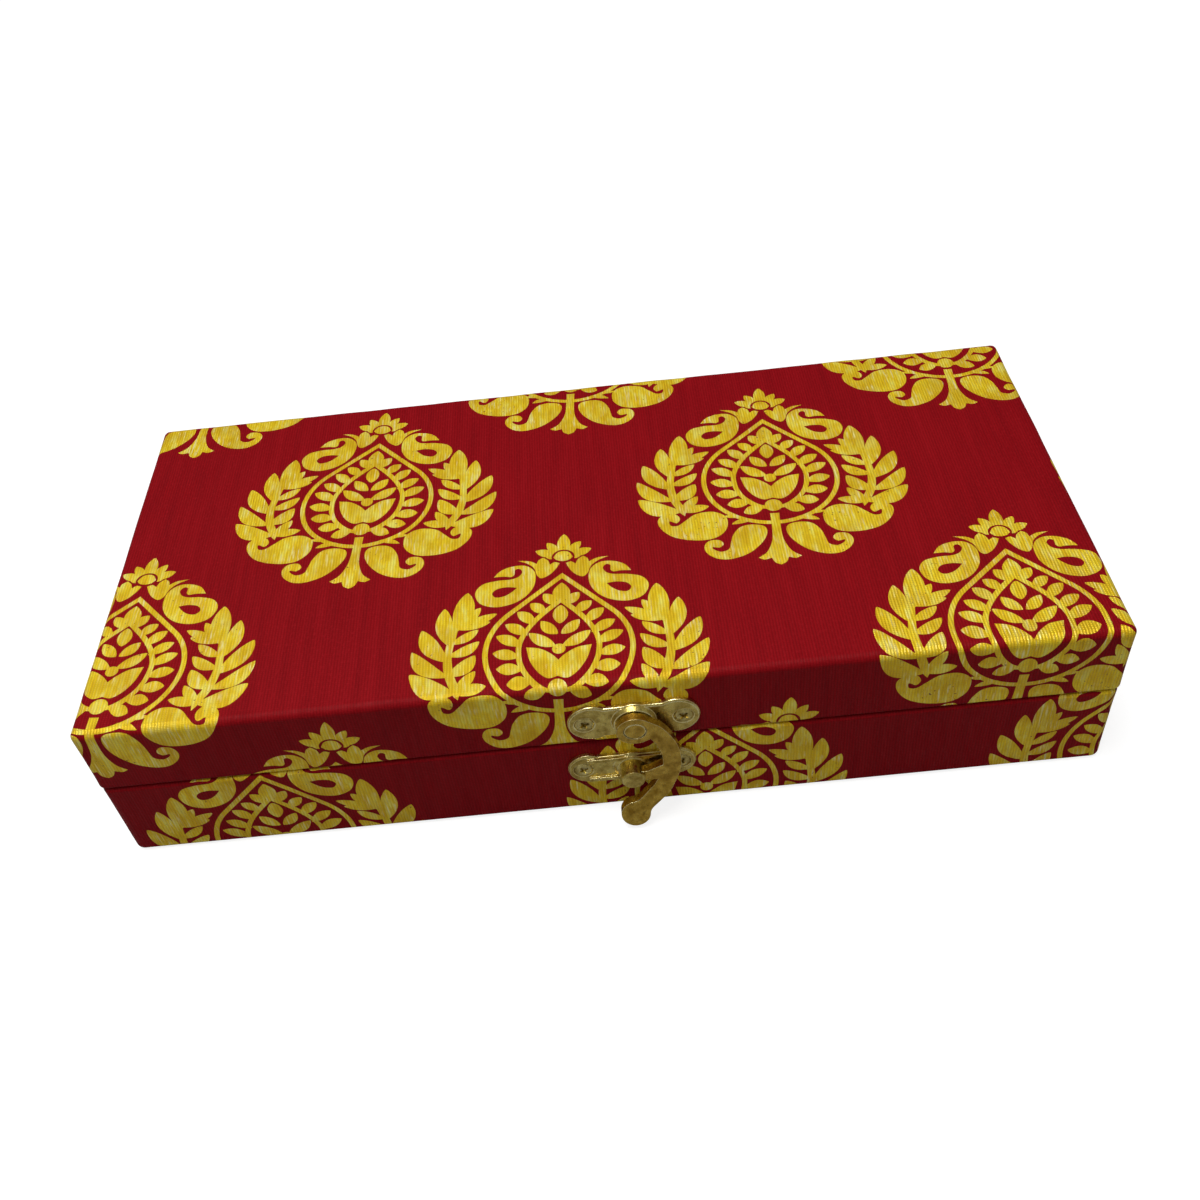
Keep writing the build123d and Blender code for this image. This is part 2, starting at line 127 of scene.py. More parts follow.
def colour(r, g, b):
    """A colour written in display values from 0 to 255."""
    def linear(c):
        c = c / 255
        return c / 12.92 if c <= 0.04045 else ((c + 0.055) / 1.055) ** 2.4
    return (linear(r), linear(g), linear(b), 1.0)


class Tree:
    """A node tree, with a short call to make and join nodes."""

    def __init__(self, owner):
        owner.use_nodes = True
        self.tree = owner.node_tree
        self.tree.nodes.clear()

    def node(self, kind, inputs=None, **fields):
        """A new node. Its inputs are plain values or other nodes' outputs."""
        made = self.tree.nodes.new("ShaderNode" + kind)
        for key, value in fields.items():
            setattr(made, key, value)
        for key, value in (inputs or {}).items():
            self.put(made, key, value)
        return made

    def put(self, node, socket, value):
        if hasattr(value, "links"):
            self.tree.links.new(value, node.inputs[socket])
        else:
            node.inputs[socket].default_value = value

    def camera_sees(self, shown, otherwise):
        """One shader for the camera's own rays and another for all the others."""
        seen = self.node("LightPath").outputs["Is Camera Ray"]
        return self.node("MixShader", {0: seen, 1: otherwise.outputs[0], 2: shown.outputs[0]}).outputs[0]


class Nodes(Tree):
    """A material's node tree, with the patterns that it is made from."""

    def __init__(self, name):
        self.material = bpy.data.materials.new(name)
        super().__init__(self.material)
        self.shader = self.node("BsdfPrincipled")
        self.out = self.node("OutputMaterial", {"Surface": self.shader.outputs[0]})

    def set(self, **values):
        """Sets the shader's inputs, with _ for each space in a name."""
        for key, value in values.items():
            self.put(self.shader, key.replace("_", " "), value)

    def mapped(self, place, scale, turn):
        inputs = {"Vector": place, "Scale": scale, "Rotation": turn}
        return self.node("Mapping", inputs).outputs[0]

    def flat(self, scale=(1, 1, 1), turn=(0, 0, 0)):
        """A place on the flat cloth, in millimetres before scale."""
        at = self.node("UVMap", uv_map="flat")
        return self.mapped(at.outputs[0], scale, turn)

    def at(self, scale=(1000, 1000, 1000), turn=(0, 0, 0)):
        """A place in the piece's own space, in millimetres at the scale of 1000."""
        place = self.node("TexCoord").outputs["Object"]
        return self.mapped(place, scale, turn)

    def noise(self, place, scale, detail, roughness=0.55):
        inputs = {"Vector": place, "Scale": scale, "Detail": detail, "Roughness": roughness}
        return self.node("TexNoise", inputs).outputs["Fac"]

    def blotches(self, scale_u, scale_v, detail, roughness=0.55, turn=0):
        """Noise on the flat cloth, with a scale of its own along each side."""
        return self.noise(self.flat((scale_u, scale_v, 1), (0, 0, turn)), 1.0, detail, roughness)

    def wave(self, scale, axis, wobble):
        inputs = {"Scale": scale, "Distortion": wobble, "Detail": 2.0, "Detail Scale": wobble}
        inputs["Vector"] = self.flat()
        return self.node("TexWave", inputs, bands_direction=axis).outputs["Fac"]

    def math(self, way, a, b):
        return self.node("Math", {0: a, 1: b}, operation=way).outputs[0]

    def weighted(self, *terms):
        """The sum of values, each times its weight."""
        parts = [self.math("MULTIPLY", value, weight) for value, weight in terms]
        total = parts[0]
        for part in parts[1:]:
            total = self.math("ADD", total, part)
        return total

    def range(self, value, low, high, to_low, to_high):
        inputs = {"Value": value, "From Min": low, "From Max": high, "To Min": to_low, "To Max": to_high}
        return self.node("MapRange", inputs).outputs[0]

    def ramp(self, value, stops):
        made = self.node("ValToRGB", {"Fac": value})
        ramp = made.color_ramp
        while len(ramp.elements) < len(stops):
            ramp.elements.new(0.5)
        for element, (place, shade) in zip(ramp.elements, stops):
            element.position = place
            element.color = colour(*shade)
        return made.outputs[0]

    def mix(self, factor, shade, towards):
        inputs = {0: factor, 6: shade, 7: colour(*towards)}
        return self.node("Mix", inputs, data_type="RGBA").outputs[2]

    def tinted(self, shade, towards, value, low, high, to_low, to_high):
        """The shade mixed with another, by as much as the value says."""
        return self.mix(self.range(value, low, high, to_low, to_high), shade, towards)

    def bump(self, height, strength, distance=0.0001):
        inputs = {"Height": height, "Strength": strength, "Distance": distance}
        return self.node("Bump", inputs).outputs[0]


def weave(n):
    """The cloth's height, its slubs, and its ribs crossed by threads. The ribs run along v."""
    slubs = n.blotches(0.9, 0.12, 3.0)
    ribs = n.wave(0.57, "X", 0.5)
    threads = n.wave(0.66, "Y", 0.7)
    fine = n.noise(n.flat(), 3.0, 2.0)
    woven = n.math("MULTIPLY", ribs, n.range(threads, 0, 1, 0.45, 1.0))
    return n.weighted((woven, 0.7), (slubs, 0.15), (fine, 0.3)), slubs, woven


def red_cloth():
    n = Nodes("printed_cloth_red")
    height, slubs, woven = weave(n)
    streak = n.blotches(0.5, 0.03, 4.0, 0.6)
    cloudy = n.blotches(0.05, 0.05, 3.0)
    thread = n.blotches(2.2, 1.4, 2.0)
    shade = n.ramp(streak, [(0.3, (132, 6, 15)), (0.5, (142, 8, 17)), (0.7, (150, 12, 21))])
    shade = n.tinted(shade, (124, 4, 13), cloudy, 0.3, 0.7, 0.3, 0.0)
    shade = n.tinted(shade, (82, 1, 7), woven, 0, 0.6, 0.38, 0.0)
    shade = n.tinted(shade, (172, 26, 36), thread, 0.5, 0.75, 0.0, 0.3)
    n.set(Base_Color=shade, Roughness=n.range(slubs, 0.3, 0.7, 0.46, 0.62))
    n.set(IOR=1.45, Specular_IOR_Level=0.09, Normal=n.bump(height, 0.7))
    return n.material


def gold_foil():
    n = Nodes("printed_cloth_gold")
    height, slubs, woven = weave(n)
    streak = n.blotches(0.7, 0.16, 4.0, 0.65, 0.15)
    cloudy = n.blotches(0.12, 0.1, 3.0, 0.6)
    scratch_and_sheen = n.blotches(1.9, 0.16, 2.0, 0.5, 0.5)
    crossed_scratch_and_sheen = n.blotches(1.7, 0.2, 2.0, 0.5, -0.75)
    speck = n.noise(n.flat(), 1.35, 3.0, 0.6)
    patchy = n.noise(n.flat(), 0.06, 2.0)
    shade = n.ramp(streak, [(0.32, (236, 190, 14)), (0.5, (252, 220, 36)), (0.66, (255, 244, 112))])
    shade = n.tinted(shade, (208, 160, 18), cloudy, 0.38, 0.58, 0.45, 0.0)
    shade = n.tinted(shade, (176, 126, 10), woven, 0, 0.6, 0.26, 0.0)
    # Scratches and painted sheen: thin streaks along the ribs and across them are mixed towards a near-white
    # gold. They paint the foil's glints of light as well as its scratches.
    marks = n.math("MAXIMUM", n.range(scratch_and_sheen, 0.58, 0.68, 0.0, 1.0), n.range(crossed_scratch_and_sheen, 0.6, 0.7, 0.0, 0.8))
    marks = n.math("MULTIPLY", marks, n.range(n.noise(n.flat(), 0.2, 2.0), 0.42, 0.6, 0.0, 0.8))
    shade = n.mix(marks, shade, (255, 246, 176))
    worn = n.math("ADD", speck, n.range(patchy, 0.45, 0.7, 0.0, 0.07))
    worn = n.math("MULTIPLY", n.range(worn, 0.7, 0.73, 0.0, 1.0), 0.85)
    shade = n.mix(worn, shade, (122, 22, 26))
    n.set(Base_Color=shade, Metallic=n.range(worn, 0.2, 0.6, 0.32, 0.0))
    n.set(Roughness=n.range(slubs, 0.3, 0.72, 0.34, 0.5))
    n.set(Specular_IOR_Level=0.3, Normal=n.bump(height, 1.0, 0.00014))
    return n.material


def lining_cloth():
    n = Nodes("lining_cloth")
    height, slubs, woven = weave(n)
    cloudy = n.blotches(0.04, 0.04, 4.0)
    shade = n.ramp(cloudy, [(0.3, (106, 9, 22)), (0.7, (118, 12, 27))])
    shade = n.tinted(shade, (66, 4, 14), woven, 0, 0.7, 0.3, 0.0)
    n.set(Base_Color=shade, Roughness=n.range(slubs, 0.3, 0.7, 0.6, 0.8))
    n.set(Specular_IOR_Level=0.3, Normal=n.bump(height, 0.4))
    n.set(Sheen_Weight=0.08, Sheen_Roughness=0.35, Sheen_Tint=colour(255, 130, 140))
    return n.material


def paper():
    n = Nodes("underside_paper")
    place = n.at()
    fibre = n.noise(place, 1.4, 5.0, 0.65)
    cloudy = n.noise(place, 0.05, 3.0)
    shade = n.ramp(cloudy, [(0.3, (70, 12, 20)), (0.7, (88, 18, 26))])
    shade = n.tinted(shade, (48, 8, 14), fibre, 0.35, 0.7, 0.25, 0.0)
    n.set(Base_Color=shade, Roughness=n.range(fibre, 0.3, 0.7, 0.72, 0.92))
    n.set(Specular_IOR_Level=0.25, Normal=n.bump(fibre, 0.35))
    return n.material


def board():
    n = Nodes("grey_board")
    fibre = n.noise(n.at(), 1.1, 6.0, 0.7)
    layers = n.noise(n.at((120, 120, 2600)), 1.0, 3.0)
    shade = n.ramp(fibre, [(0.3, (128, 112, 92)), (0.7, (168, 152, 128))])
    shade = n.tinted(shade, (104, 90, 72), layers, 0.35, 0.7, 0.3, 0.0)
    n.set(Base_Color=shade, Roughness=n.range(fibre, 0.3, 0.7, 0.8, 0.95))
    n.set(Normal=n.bump(fibre, 0.4))
    return n.material


def brass(name, light, dark, rough, pitted):
    """Antique brass in light and dark patches, with brown spots, pits and fine scratches."""
    n = Nodes(name)
    place = n.at()
    cloudy = n.noise(place, 0.55, 5.0, 0.62)
    pits = n.noise(place, 2.4, 3.0, 0.6)
    spots = n.noise(place, 1.5, 3.0, 0.6)
    scratches = n.noise(n.at((3200, 3200, 420), (0.3, 0.5, 0.2)), 1.0, 2.0)
    shade = n.ramp(cloudy, [(0.34, dark), (0.62, light)])
    shade = n.tinted(shade, (112, 84, 34), spots, 0.55, 0.7, 0.0, 0.5)
    n.set(Base_Color=shade, Metallic=1.0)
    uneven = n.weighted((cloudy, 0.6), (scratches, 0.4))
    n.set(Roughness=n.range(uneven, 0.35, 0.65, rough[1], rough[0]))
    height = n.weighted((pits, 0.7), (scratches, 0.3))
    n.set(Normal=n.bump(height, pitted, 0.00012))
    return n.material


RED = red_cloth()
GOLD = gold_foil()
LINING = lining_cloth()
PAPER = paper()
BOARD = board()
BRASS = brass("antique_brass", (230, 208, 118), (168, 140, 62), (0.22, 0.38), 0.3)
HOOK_BRASS = brass("hook_brass", (218, 182, 80), (162, 124, 40), (0.22, 0.36), 0.2)
EDGE_BRASS = brass("rubbed_edge_brass", (255, 246, 190), (238, 216, 140), (0.22, 0.34), 0.15)
SCREW_BRASS = brass("screw_brass", (240, 224, 150), (176, 154, 84), (0.22, 0.36), 0.2)


# The printed motif, in millimetres: its crown's tip at the origin, its stem hanging down.
# Leaves are (base, tip, width) or (base, tip, width, bend), and each is drawn on both sides.

def between(a, b, c, d, t):
    """A value from b to c, in a curve that comes from a and goes on to d."""
    second, third = 2 * a - 5 * b + 4 * c - d, 3 * b - a - 3 * c + d
    return 0.5 * (2 * b + (c - a) * t + second * t * t + third * t ** 3)


def smooth(points):
    """A closed curve through the points. A point given twice running is a sharp corner."""
    knots = []
    for p in points:
        if knots and knots[-1][0] == p:
            knots[-1][1] = True
        else:
            knots.append([p, False])
    count = len(knots)
    out = []
    for i in range(count):
        (p1, sharp1), (p2, sharp2) = knots[i], knots[(i + 1) % count]
        p0 = p1 if sharp1 else knots[i - 1][0]
        p3 = p2 if sharp2 else knots[(i + 2) % count][0]
        steps = max(2, round(dist(p1, p2) / CURVE_STEP))
        for s in range(steps):
            t = s / steps
            out.append(tuple(between(*values, t) for values in zip(p0, p1, p2, p3)))
    return out


def disc(x, y, radius, height=None):
    """A circle, or an oval with a half height of its own."""
    count = max(10, round(2 * pi * radius / CURVE_STEP))
    height = height or radius
    angles = [2 * pi * i / count for i in range(count)]
    return [(x + radius * cos(a), y + height * sin(a)) for a in angles]


def leaf(base, tip, width, bend=0.0, belly=1.0, blunt=0.75):
    """A leaf. A bend bows it to its left, a belly over 1 moves its widest place towards the tip, and a
    smaller blunt rounds its ends."""
    dx, dy = tip[0] - base[0], tip[1] - base[1]
    length = dist(base, tip)
    across = (-dy / length, dx / length)
    steps = max(5, round(length / CURVE_STEP))
    def side(t, s):
        half = width / 2 * sin(pi * t ** belly) ** blunt if 0 < t < 1 else 0
        off = bend * length * 4 * t * (1 - t) + s * half
        return (base[0] + dx * t + across[0] * off, base[1] + dy * t + across[1] * off)
    along = [(1 - cos(pi * i / steps)) / 2 for i in range(steps + 1)]
    return [side(t, -1) for t in along] + [side(t, 1) for t in reversed(along[1:-1])]


def drop(centre, radius, apex):
    """A circle on the axis with the two tangents from a point above it."""
    first = radians(90) - acos(radius / (apex - centre))
    sweep = pi + 2 * first
    count = round(radius * sweep / CURVE_STEP)
    angles = [first - sweep * i / count for i in range(count + 1)]
    return [(0, apex)] + [(radius * cos(a), centre + radius * sin(a)) for a in angles]


def mirrored(shape):
    return [(-x, y) for x, y in reversed(shape)]


CROWN_LEAVES = [
    ((0.3, -6.3), (3.3, -2.1), 2.0), ((0.5, -6.3), (5.5, -4.3), 2.1), ((0.6, -6.2), (3.4, -6.2), 1.4)]
HALF_CUP = [(1.2, -5.1), (1.9, -6.4), (1.9, -6.4), (1.2, -7.2)]
PETALS = [
    ((1.0, -19.6), (3.4, -16.4), 2.3), ((2.7, -21.7), (5.8, -18.8), 2.3), ((4.6, -24.3), (8.1, -20.8), 2.4),
    ((5.9, -26.9), (10.2, -23.9), 2.4), ((6.8, -29.6), (11.7, -26.8), 2.5),
    ((7.1, -32.3), (12.1, -31.0), 2.6), ((6.3, -35.3), (11.2, -34.9), 2.7),
    ((4.6, -37.9), (9.1, -38.2), 2.7), ((2.0, -39.6), (6.0, -40.9), 2.6)]
LAUREL_OUTSIDE = [
    ((19.4, -25.2), (18.0, -15.0), 3.9, 0.03), ((19.9, -29.0), (22.1, -19.0), 3.4, -0.06),
    ((20.2, -32.6), (25.9, -24.4), 3.5, -0.08), ((19.8, -36.2), (27.2, -29.8), 3.2, -0.13),
    ((18.2, -39.5), (27.0, -35.3), 3.8, -0.13)]
LAUREL_INSIDE = [
    ((19.2, -24.6), (12.0, -21.0), 2.1, 0.0), ((19.2, -24.6), (13.1, -23.0), 1.9, 0.0),
    ((19.0, -24.6), (15.2, -19.2), 2.3, 0.0), ((20.2, -28.2), (15.2, -24.9), 2.1, 0.06),
    ((20.4, -31.2), (14.8, -27.9), 2.4, 0.1), ((20.2, -36.0), (15.3, -31.3), 3.1, 0.12),
    ((18.6, -39.2), (15.0, -35.1), 2.1, 0.05), ((18.6, -39.5), (12.8, -38.3), 2.2, 0.0)]
TULIP = [
    (3.9, -12.1), (2.3, -11.1), (1.2, -9.5), (0.6, -8.1), (0.6, -8.1), (1.6, -7.7), (2.5, -8.4), (2.5, -8.4),
    (2.9, -7.2), (3.9, -6.3), (3.9, -6.3), (4.8, -7.0), (5.1, -8.0), (5.1, -8.0), (6.6, -7.1), (8.9, -6.8),
    (8.9, -6.8), (6.9, -7.8), (5.5, -9.3), (4.9, -11.2)]
UPPER_PAISLEY = [
    (5.7, -9.6), (5.1, -11.6), (5.5, -14.6), (7.2, -17.2), (9.8, -18.8), (12.9, -19.2), (15.6, -17.9),
    (16.6, -15.2), (15.4, -13.0), (12.6, -12.1), (9.9, -11.9), (8.4, -11.2), (7.8, -9.9), (8.5, -9.0),
    (9.3, -9.4), (9.3, -10.6), (9.9, -11.2), (11.3, -11.0), (13.3, -11.1), (13.3, -11.1), (12.0, -9.3),
    (9.8, -8.3), (7.4, -8.3)]
UPPER_PAISLEY_HEART = [
    (8.6, -14.3), (8.6, -14.3), (10.4, -14.0), (12.4, -14.4), (13.3, -15.6), (12.5, -16.7), (10.8, -16.4),
    (9.5, -15.4)]
HEART_OUTSIDE = [
    (0, -17.5), (0, -17.5), (3.9, -21.5), (6.2, -24.8), (7.6, -28.0), (7.9, -30.6), (7.4, -34.0),
    (5.7, -37.2), (2.8, -39.8)]
HEART_INSIDE = [
    (0, -18.9), (0, -18.9), (3.1, -22.2), (5.3, -25.2), (6.6, -28.2), (6.9, -30.6), (6.4, -33.8),
    (4.9, -36.6), (1.9, -39.0)]
BOWL = [
    (6.0, -29.9), (6.0, -29.9), (3.4, -30.4), (1.2, -31.9), (0, -33.3), (0, -33.3), (0, -36.8), (0, -36.8),
    (1.8, -37.2), (3.7, -35.8), (5.2, -33.2)]
HALF_STEM = [
    (0.9, -41.5), (0.9, -41.5), (0.85, -44.5), (1.0, -48.5), (1.6, -51.0), (2.6, -52.9), (4.1, -54.1),
    (4.1, -54.1), (3.0, -54.7), (1.6, -54.3), (1.6, -54.3), (1.1, -55.6), (0, -56.3)]
BIG_PAISLEY = [
    (9.4, -42.6), (9.8, -45.6), (12.2, -47.8), (16.2, -48.1), (20.2, -46.8), (22.6, -44.2), (23.1, -41.6),
    (21.6, -40.1), (19.6, -40.2), (18.7, -41.6), (19.4, -42.8), (20.6, -42.2), (20.9, -42.4), (20.6, -43.5),
    (19.2, -43.6), (17.6, -42.2), (15.6, -40.5), (12.6, -40.0), (10.4, -40.9)]
SMALL_PAISLEY = [
    (4.6, -44.5), (7.0, -45.1), (8.5, -47.2), (9.1, -49.4), (9.6, -51.2), (11.2, -51.8), (12.6, -50.9),
    (12.6, -50.3), (11.4, -50.6), (10.5, -49.6), (11.4, -48.4), (13.4, -48.6), (14.3, -50.2), (13.7, -52.2),
    (11.6, -53.8), (8.8, -53.9), (5.6, -52.5), (3.1, -49.9), (1.9, -47.2), (2.3, -45.2)]
LAUREL_STEM = [
    (18.8, -22.2), (19.9, -24.0), (20.8, -28.0), (21.1, -32.0), (20.5, -36.0), (18.9, -39.4), (17.7, -40.9),
    (17.7, -40.9), (17.5, -38.8), (18.8, -35.8), (19.6, -31.5), (19.3, -27.0)]


def motif():
    """A list of (outline, gold or red) in painting order."""
    shapes = []
    def one(shape, gold=True):
        shapes.append((shape, gold))
    def both(shape, gold=True):
        one(shape, gold)
        one(mirrored(shape), gold)
    def whole(half):
        return smooth(half + [(-x, y) for x, y in reversed(half[2:])])
    one(leaf((0, -6.4), (0, 0.2), 2.6, belly=1.25))
    for base, tip, width in CROWN_LEAVES:
        both(leaf(base, tip, width, belly=1.35))
    one(disc(0, -6.3, 2.25, 2.05), False)
    one(smooth([(0, -4.65)] + HALF_CUP + [(0, -7.5)] + mirrored(HALF_CUP)))
    both(smooth(TULIP))
    both(smooth(UPPER_PAISLEY))
    both(smooth(UPPER_PAISLEY_HEART), False)
    one(drop(-30.7, 14.0, -10.9))
    one(drop(-30.7, 13.0, -12.4), False)
    one(whole(HEART_OUTSIDE))
    one(whole(HEART_INSIDE), False)
    one(leaf((0, -18.9), (0, -13.6), 3.4, belly=0.95, blunt=0.85))
    for base, tip, width in PETALS:
        both(leaf(base, tip, width, bend=0.03, belly=1.15))
    one(leaf((0, -24.3), (0, -19.6), 2.9, blunt=0.65))
    both(leaf((0.3, -26.9), (3.6, -23.5), 2.4, bend=-0.05))
    both(leaf((0.6, -29.9), (5.7, -26.4), 2.5, bend=-0.05))
    one(disc(0, -30.6, 1.25))
    both(smooth(BOWL))
    one(disc(0, -39.1, 1.75))
    one(smooth(HALF_STEM + mirrored(HALF_STEM)))
    both(leaf((6.6, -42.0), (10.2, -41.6), 0.9))
    both(leaf((4.2, -43.0), (8.6, -44.1), 1.3, bend=0.06))
    both(smooth(BIG_PAISLEY))
    both(smooth(SMALL_PAISLEY))
    for base, tip, width, bend in LAUREL_OUTSIDE + LAUREL_INSIDE:
        both(leaf(base, tip, width, bend=bend, belly=1.1, blunt=0.7))
    both(smooth(LAUREL_STEM))
    return shapes


MOTIF = motif()


def lattice(at, turn, low, high):
    """Crown tips of the motifs that may reach the cloth from low to high, each with its turn."""
    c, s = cos(radians(turn)), sin(radians(turn))
    out = []
    for row in range(-6, 7):
        for column in range(-8, 9):
            a = (column + 0.5 * (row % 2)) * PERIOD
            b = row * ROW_STEP
            u, v = at[0] + a * c - b * s, at[1] + a * s + b * c
            near_u = low[0] - MOTIF_REACH < u < high[0] + MOTIF_REACH
            near_v = low[1] - MOTIF_RISE < v < high[1] + MOTIF_FALL
            if near_u and near_v:
                out.append((u, v, turn))
    return out


def turned(shape, u, v, turn):
    c, s = cos(radians(turn)), sin(radians(turn))
    return [(u + x * c - y * s, v + x * s + y * c) for x, y in shape]


# Cloth cut flat, printed, and folded round the box

def ease(t):
    """A smooth step from 0 to 1."""
    t = min(max(t, 0), 1)
    return t * t * (3 - 2 * t)


def lines_between(low, high, step):
    count = max(1, ceil((high - low) / step))
    return [low + (high - low) * i / count for i in range(count + 1)]


def rounding_offsets(radius, count=5):
    """How far from a sharp edge the fold lines lie, so that a rounding gets even steps."""
    return [radius * (1 - tan(pi / 4 * i / count)) for i in range(count + 1)]


def either_side(edges, offsets):
    return sorted({edge + sign * off for off in offsets for edge in edges for sign in (-1, 1)})


class Flat:
    """The flat cut: its outline, the print on it, and the lines that its mesh is split along."""

    def __init__(self, outline):
        self.points, self.edges, self.faces, self.gold = [], [], [], []
        self.outline = outline
        self.face(outline, False)

    def face(self, ring, gold):
        area = sum(a[0] * b[1] - b[0] * a[1] for a, b in zip(ring, ring[1:] + ring[:1]))
        if area < 0:
            ring = ring[::-1]
        first = len(self.points)
        self.points += [Vector(p) for p in ring]
        self.faces.append(list(range(first, first + len(ring))))
        self.gold.append(gold)

    def line(self, a, b, step):
        count = max(1, ceil(dist(a, b) / step))
        first = len(self.points)
        for i in range(count + 1):
            t = i / count
            self.points.append(Vector((a[0] + (b[0] - a[0]) * t, a[1] + (b[1] - a[1]) * t)))
        self.edges += [(first + i, first + i + 1) for i in range(count)]

    def print_motifs(self, places, pull=lambda ring: ring):
        low = [min(p[i] for p in self.outline) for i in range(2)]
        high = [max(p[i] for p in self.outline) for i in range(2)]
        for u, v, turn in places:
            for shape, gold in MOTIF:
                ring = pull(turned(shape, u, v, turn))
                spans = [(min(p[i] for p in ring), max(p[i] for p in ring)) for i in range(2)]
                if all(a < high[i] and b > low[i] for i, (a, b) in enumerate(spans)):
                    self.face(ring, gold)

    def cut(self):
        """Points of the mesh, its faces, and for each face whether it is gold."""
        points, _, faces, _, _, came_from = delaunay_2d_cdt(self.points, self.edges, self.faces, 0, 1e-5)
        kept, gold = [], []
        for face, origin in zip(faces, came_from):
            if 0 in origin and len(face) > 2:
                kept.append(face)
                gold.append(self.gold[max(origin)])
        used = np.unique([i for face in kept for i in face])
        new = np.full(len(points), -1)
        new[used] = np.arange(len(used))
        return np.array([points[i][:] for i in used]), [new[list(face)].tolist() for face in kept], gold


def smooth_noise(seed, waves, shortest, longest):
    """A gentle unevenness of the cloth: a sum of waves, from -1 to 1 or so."""
    rng = np.random.default_rng(seed)
    rows = []
    for _ in range(waves):
        length = shortest * (longest / shortest) ** rng.random()
        way = rng.random() * 2 * pi
        rows.append((2 * pi * cos(way) / length, 2 * pi * sin(way) / length, rng.random() * 2 * pi))
    def at(u, v):
        return sum(np.sin(a * u + b * v + c) for a, b, c in rows) / sqrt(waves) * 0.8
    return at


def unevenness(seed, depth, fade):
    """How far the cloth stands off its board: slow waves and finer wrinkles, faded out at the folds."""
    waves = smooth_noise(seed, 14, 9, 60)
    wrinkle = smooth_noise(seed + 1, 10, 3.5, 9)
    def uneven(u, v):
        return fade(u, v) * (depth * waves(u, v) + 0.008 * wrinkle(u, v) - depth)
    return uneven


def wall_path(s, start, rim, way, width, radius):
    """Offset and height of the cloth s further on from the start: along the wall, over the rim and back
    inside. Inward offsets are negative, and way is -1 where the wall is followed downwards."""
    drop_length = abs(rim - start)
    o = np.where(s < drop_length, 0.0, np.where(s < drop_length + width, -(s - drop_length), -width))
    z = np.where(s < drop_length, start + way * s,
                 np.where(s < drop_length + width, rim, rim - way * (s - drop_length - width)))
    low_z = rim - way * radius
    qo = np.clip(o, -(width - radius), -radius)
    qz = np.where((rim - z) * way < radius, low_z, z)
    do, dz = o - qo, z - qz
    size = np.maximum(np.sqrt(do * do + dz * dz), 1e-9)
    near = size > 1e-6
    k = np.where(near, radius / size, 1)
    return np.where(near, qo + do * k, o), np.where(near, qz + dz * k, z)


def unit(vectors):
    return vectors / np.maximum(np.linalg.norm(vectors, axis=-1, keepdims=True), 1e-12)


def rounded(x, y, z, o, corner, centre_z):
    """Moves points on a sharp box, o inward of the outside, to where its edges are rounded."""
    radius = np.maximum(0.25, corner + o)
    half_x, half_y = HALF_X + o, HALF_Y + o
    centre_x = np.clip(x, -(half_x - radius), half_x - radius)
    centre_y = np.clip(y, -(half_y - radius), half_y - radius)
    away = np.stack([x - centre_x, y - centre_y, z - centre_z], -1)
    return np.stack([centre_x, centre_y, centre_z], -1) + unit(away) * radius[..., None]


def lid_place(u, v):
    """Where a point of the lid's flat cloth comes to lie."""
    over_x = np.maximum(np.abs(u) - HALF_X, 0)
    over_y = np.maximum(np.abs(v) - HALF_Y, 0)
    s = np.maximum(over_x, over_y)
    o, z = wall_path(s, TOP, LID_RIM, -1, RIM_WIDTH, RIM_ROUND)
    side = over_x > over_y
    x = np.where(side, np.sign(u) * (HALF_X + o), u)
    y = np.where(side, v, np.where(over_y > 0, np.sign(v) * (HALF_Y + o), v))
    on_top = s <= 0
    z = np.where(on_top, TOP, z)
    o = np.where(on_top, 0, o)
    return rounded(x, y, z, o, LID_ROUND, np.where(o < 0, z, np.minimum(z, TOP - LID_ROUND)))


# Each side's start on the band, its length, the corner it starts from and its direction
SIDES = [
    (0, BOX_LENGTH, -HALF_X, -HALF_Y, 1, 0),
    (BOX_LENGTH, BOX_WIDTH, HALF_X, -HALF_Y, 0, 1),
    (BOX_LENGTH + BOX_WIDTH, BOX_LENGTH, HALF_X, HALF_Y, -1, 0),
    (2 * BOX_LENGTH + BOX_WIDTH, BOX_WIDTH, -HALF_X, HALF_Y, 0, -1)]


def base_place(u, v):
    """Where a point of the base's flat band comes to lie. u runs round from the front left corner. v is the
    height on the outside, and goes on over the rim above and under the hem below."""
    low, high = HEM_LEVEL, BASE_RIM
    up_o, up_z = wall_path(np.maximum(v - low, 0), low, high, 1, RIM_WIDTH, RIM_ROUND)
    down_o, down_z = wall_path(np.maximum(high - v, 0), high, low, -1, HEM, HEM_ROUND)
    mid = (low + high) / 2
    o = np.where(v > mid, up_o, down_o)
    z = np.where(v > mid, up_z, down_z)
    u = np.asarray(u, dtype=float) % PERIMETER
    x = np.zeros_like(u)
    y = np.zeros_like(u)
    for start, length, x0, y0, dx, dy in SIDES:
        here = (u >= start) & (u <= start + length)
        t = u - start
        x = np.where(here, x0 + dx * t, x)
        y = np.where(here, y0 + dy * t, y)
        x = np.where(here & (dx == 0), np.sign(x0) * (HALF_X + o), x)
        y = np.where(here & (dy == 0), np.sign(y0) * (HALF_Y + o), y)
    return rounded(x, y, z, o, EDGE_ROUND, z)


def folded(place, uneven, points):
    """Places and normals of the flat points. uneven(u, v) is how far the cloth stands off, in millimetres."""
    u, v = points[:, 0], points[:, 1]
    e = 0.02
    du = place(u + e, v) - place(u - e, v)
    dv = place(u, v + e) - place(u, v - e)
    normal = unit(np.cross(du, dv))
    slope_u = (uneven(u + e, v) - uneven(u - e, v)) / (2 * e)
    slope_v = (uneven(u, v + e) - uneven(u, v - e)) / (2 * e)
    at = place(u, v) + normal * uneven(u, v)[:, None]
    return at, unit(normal - unit(du) * slope_u[:, None] - unit(dv) * slope_v[:, None])


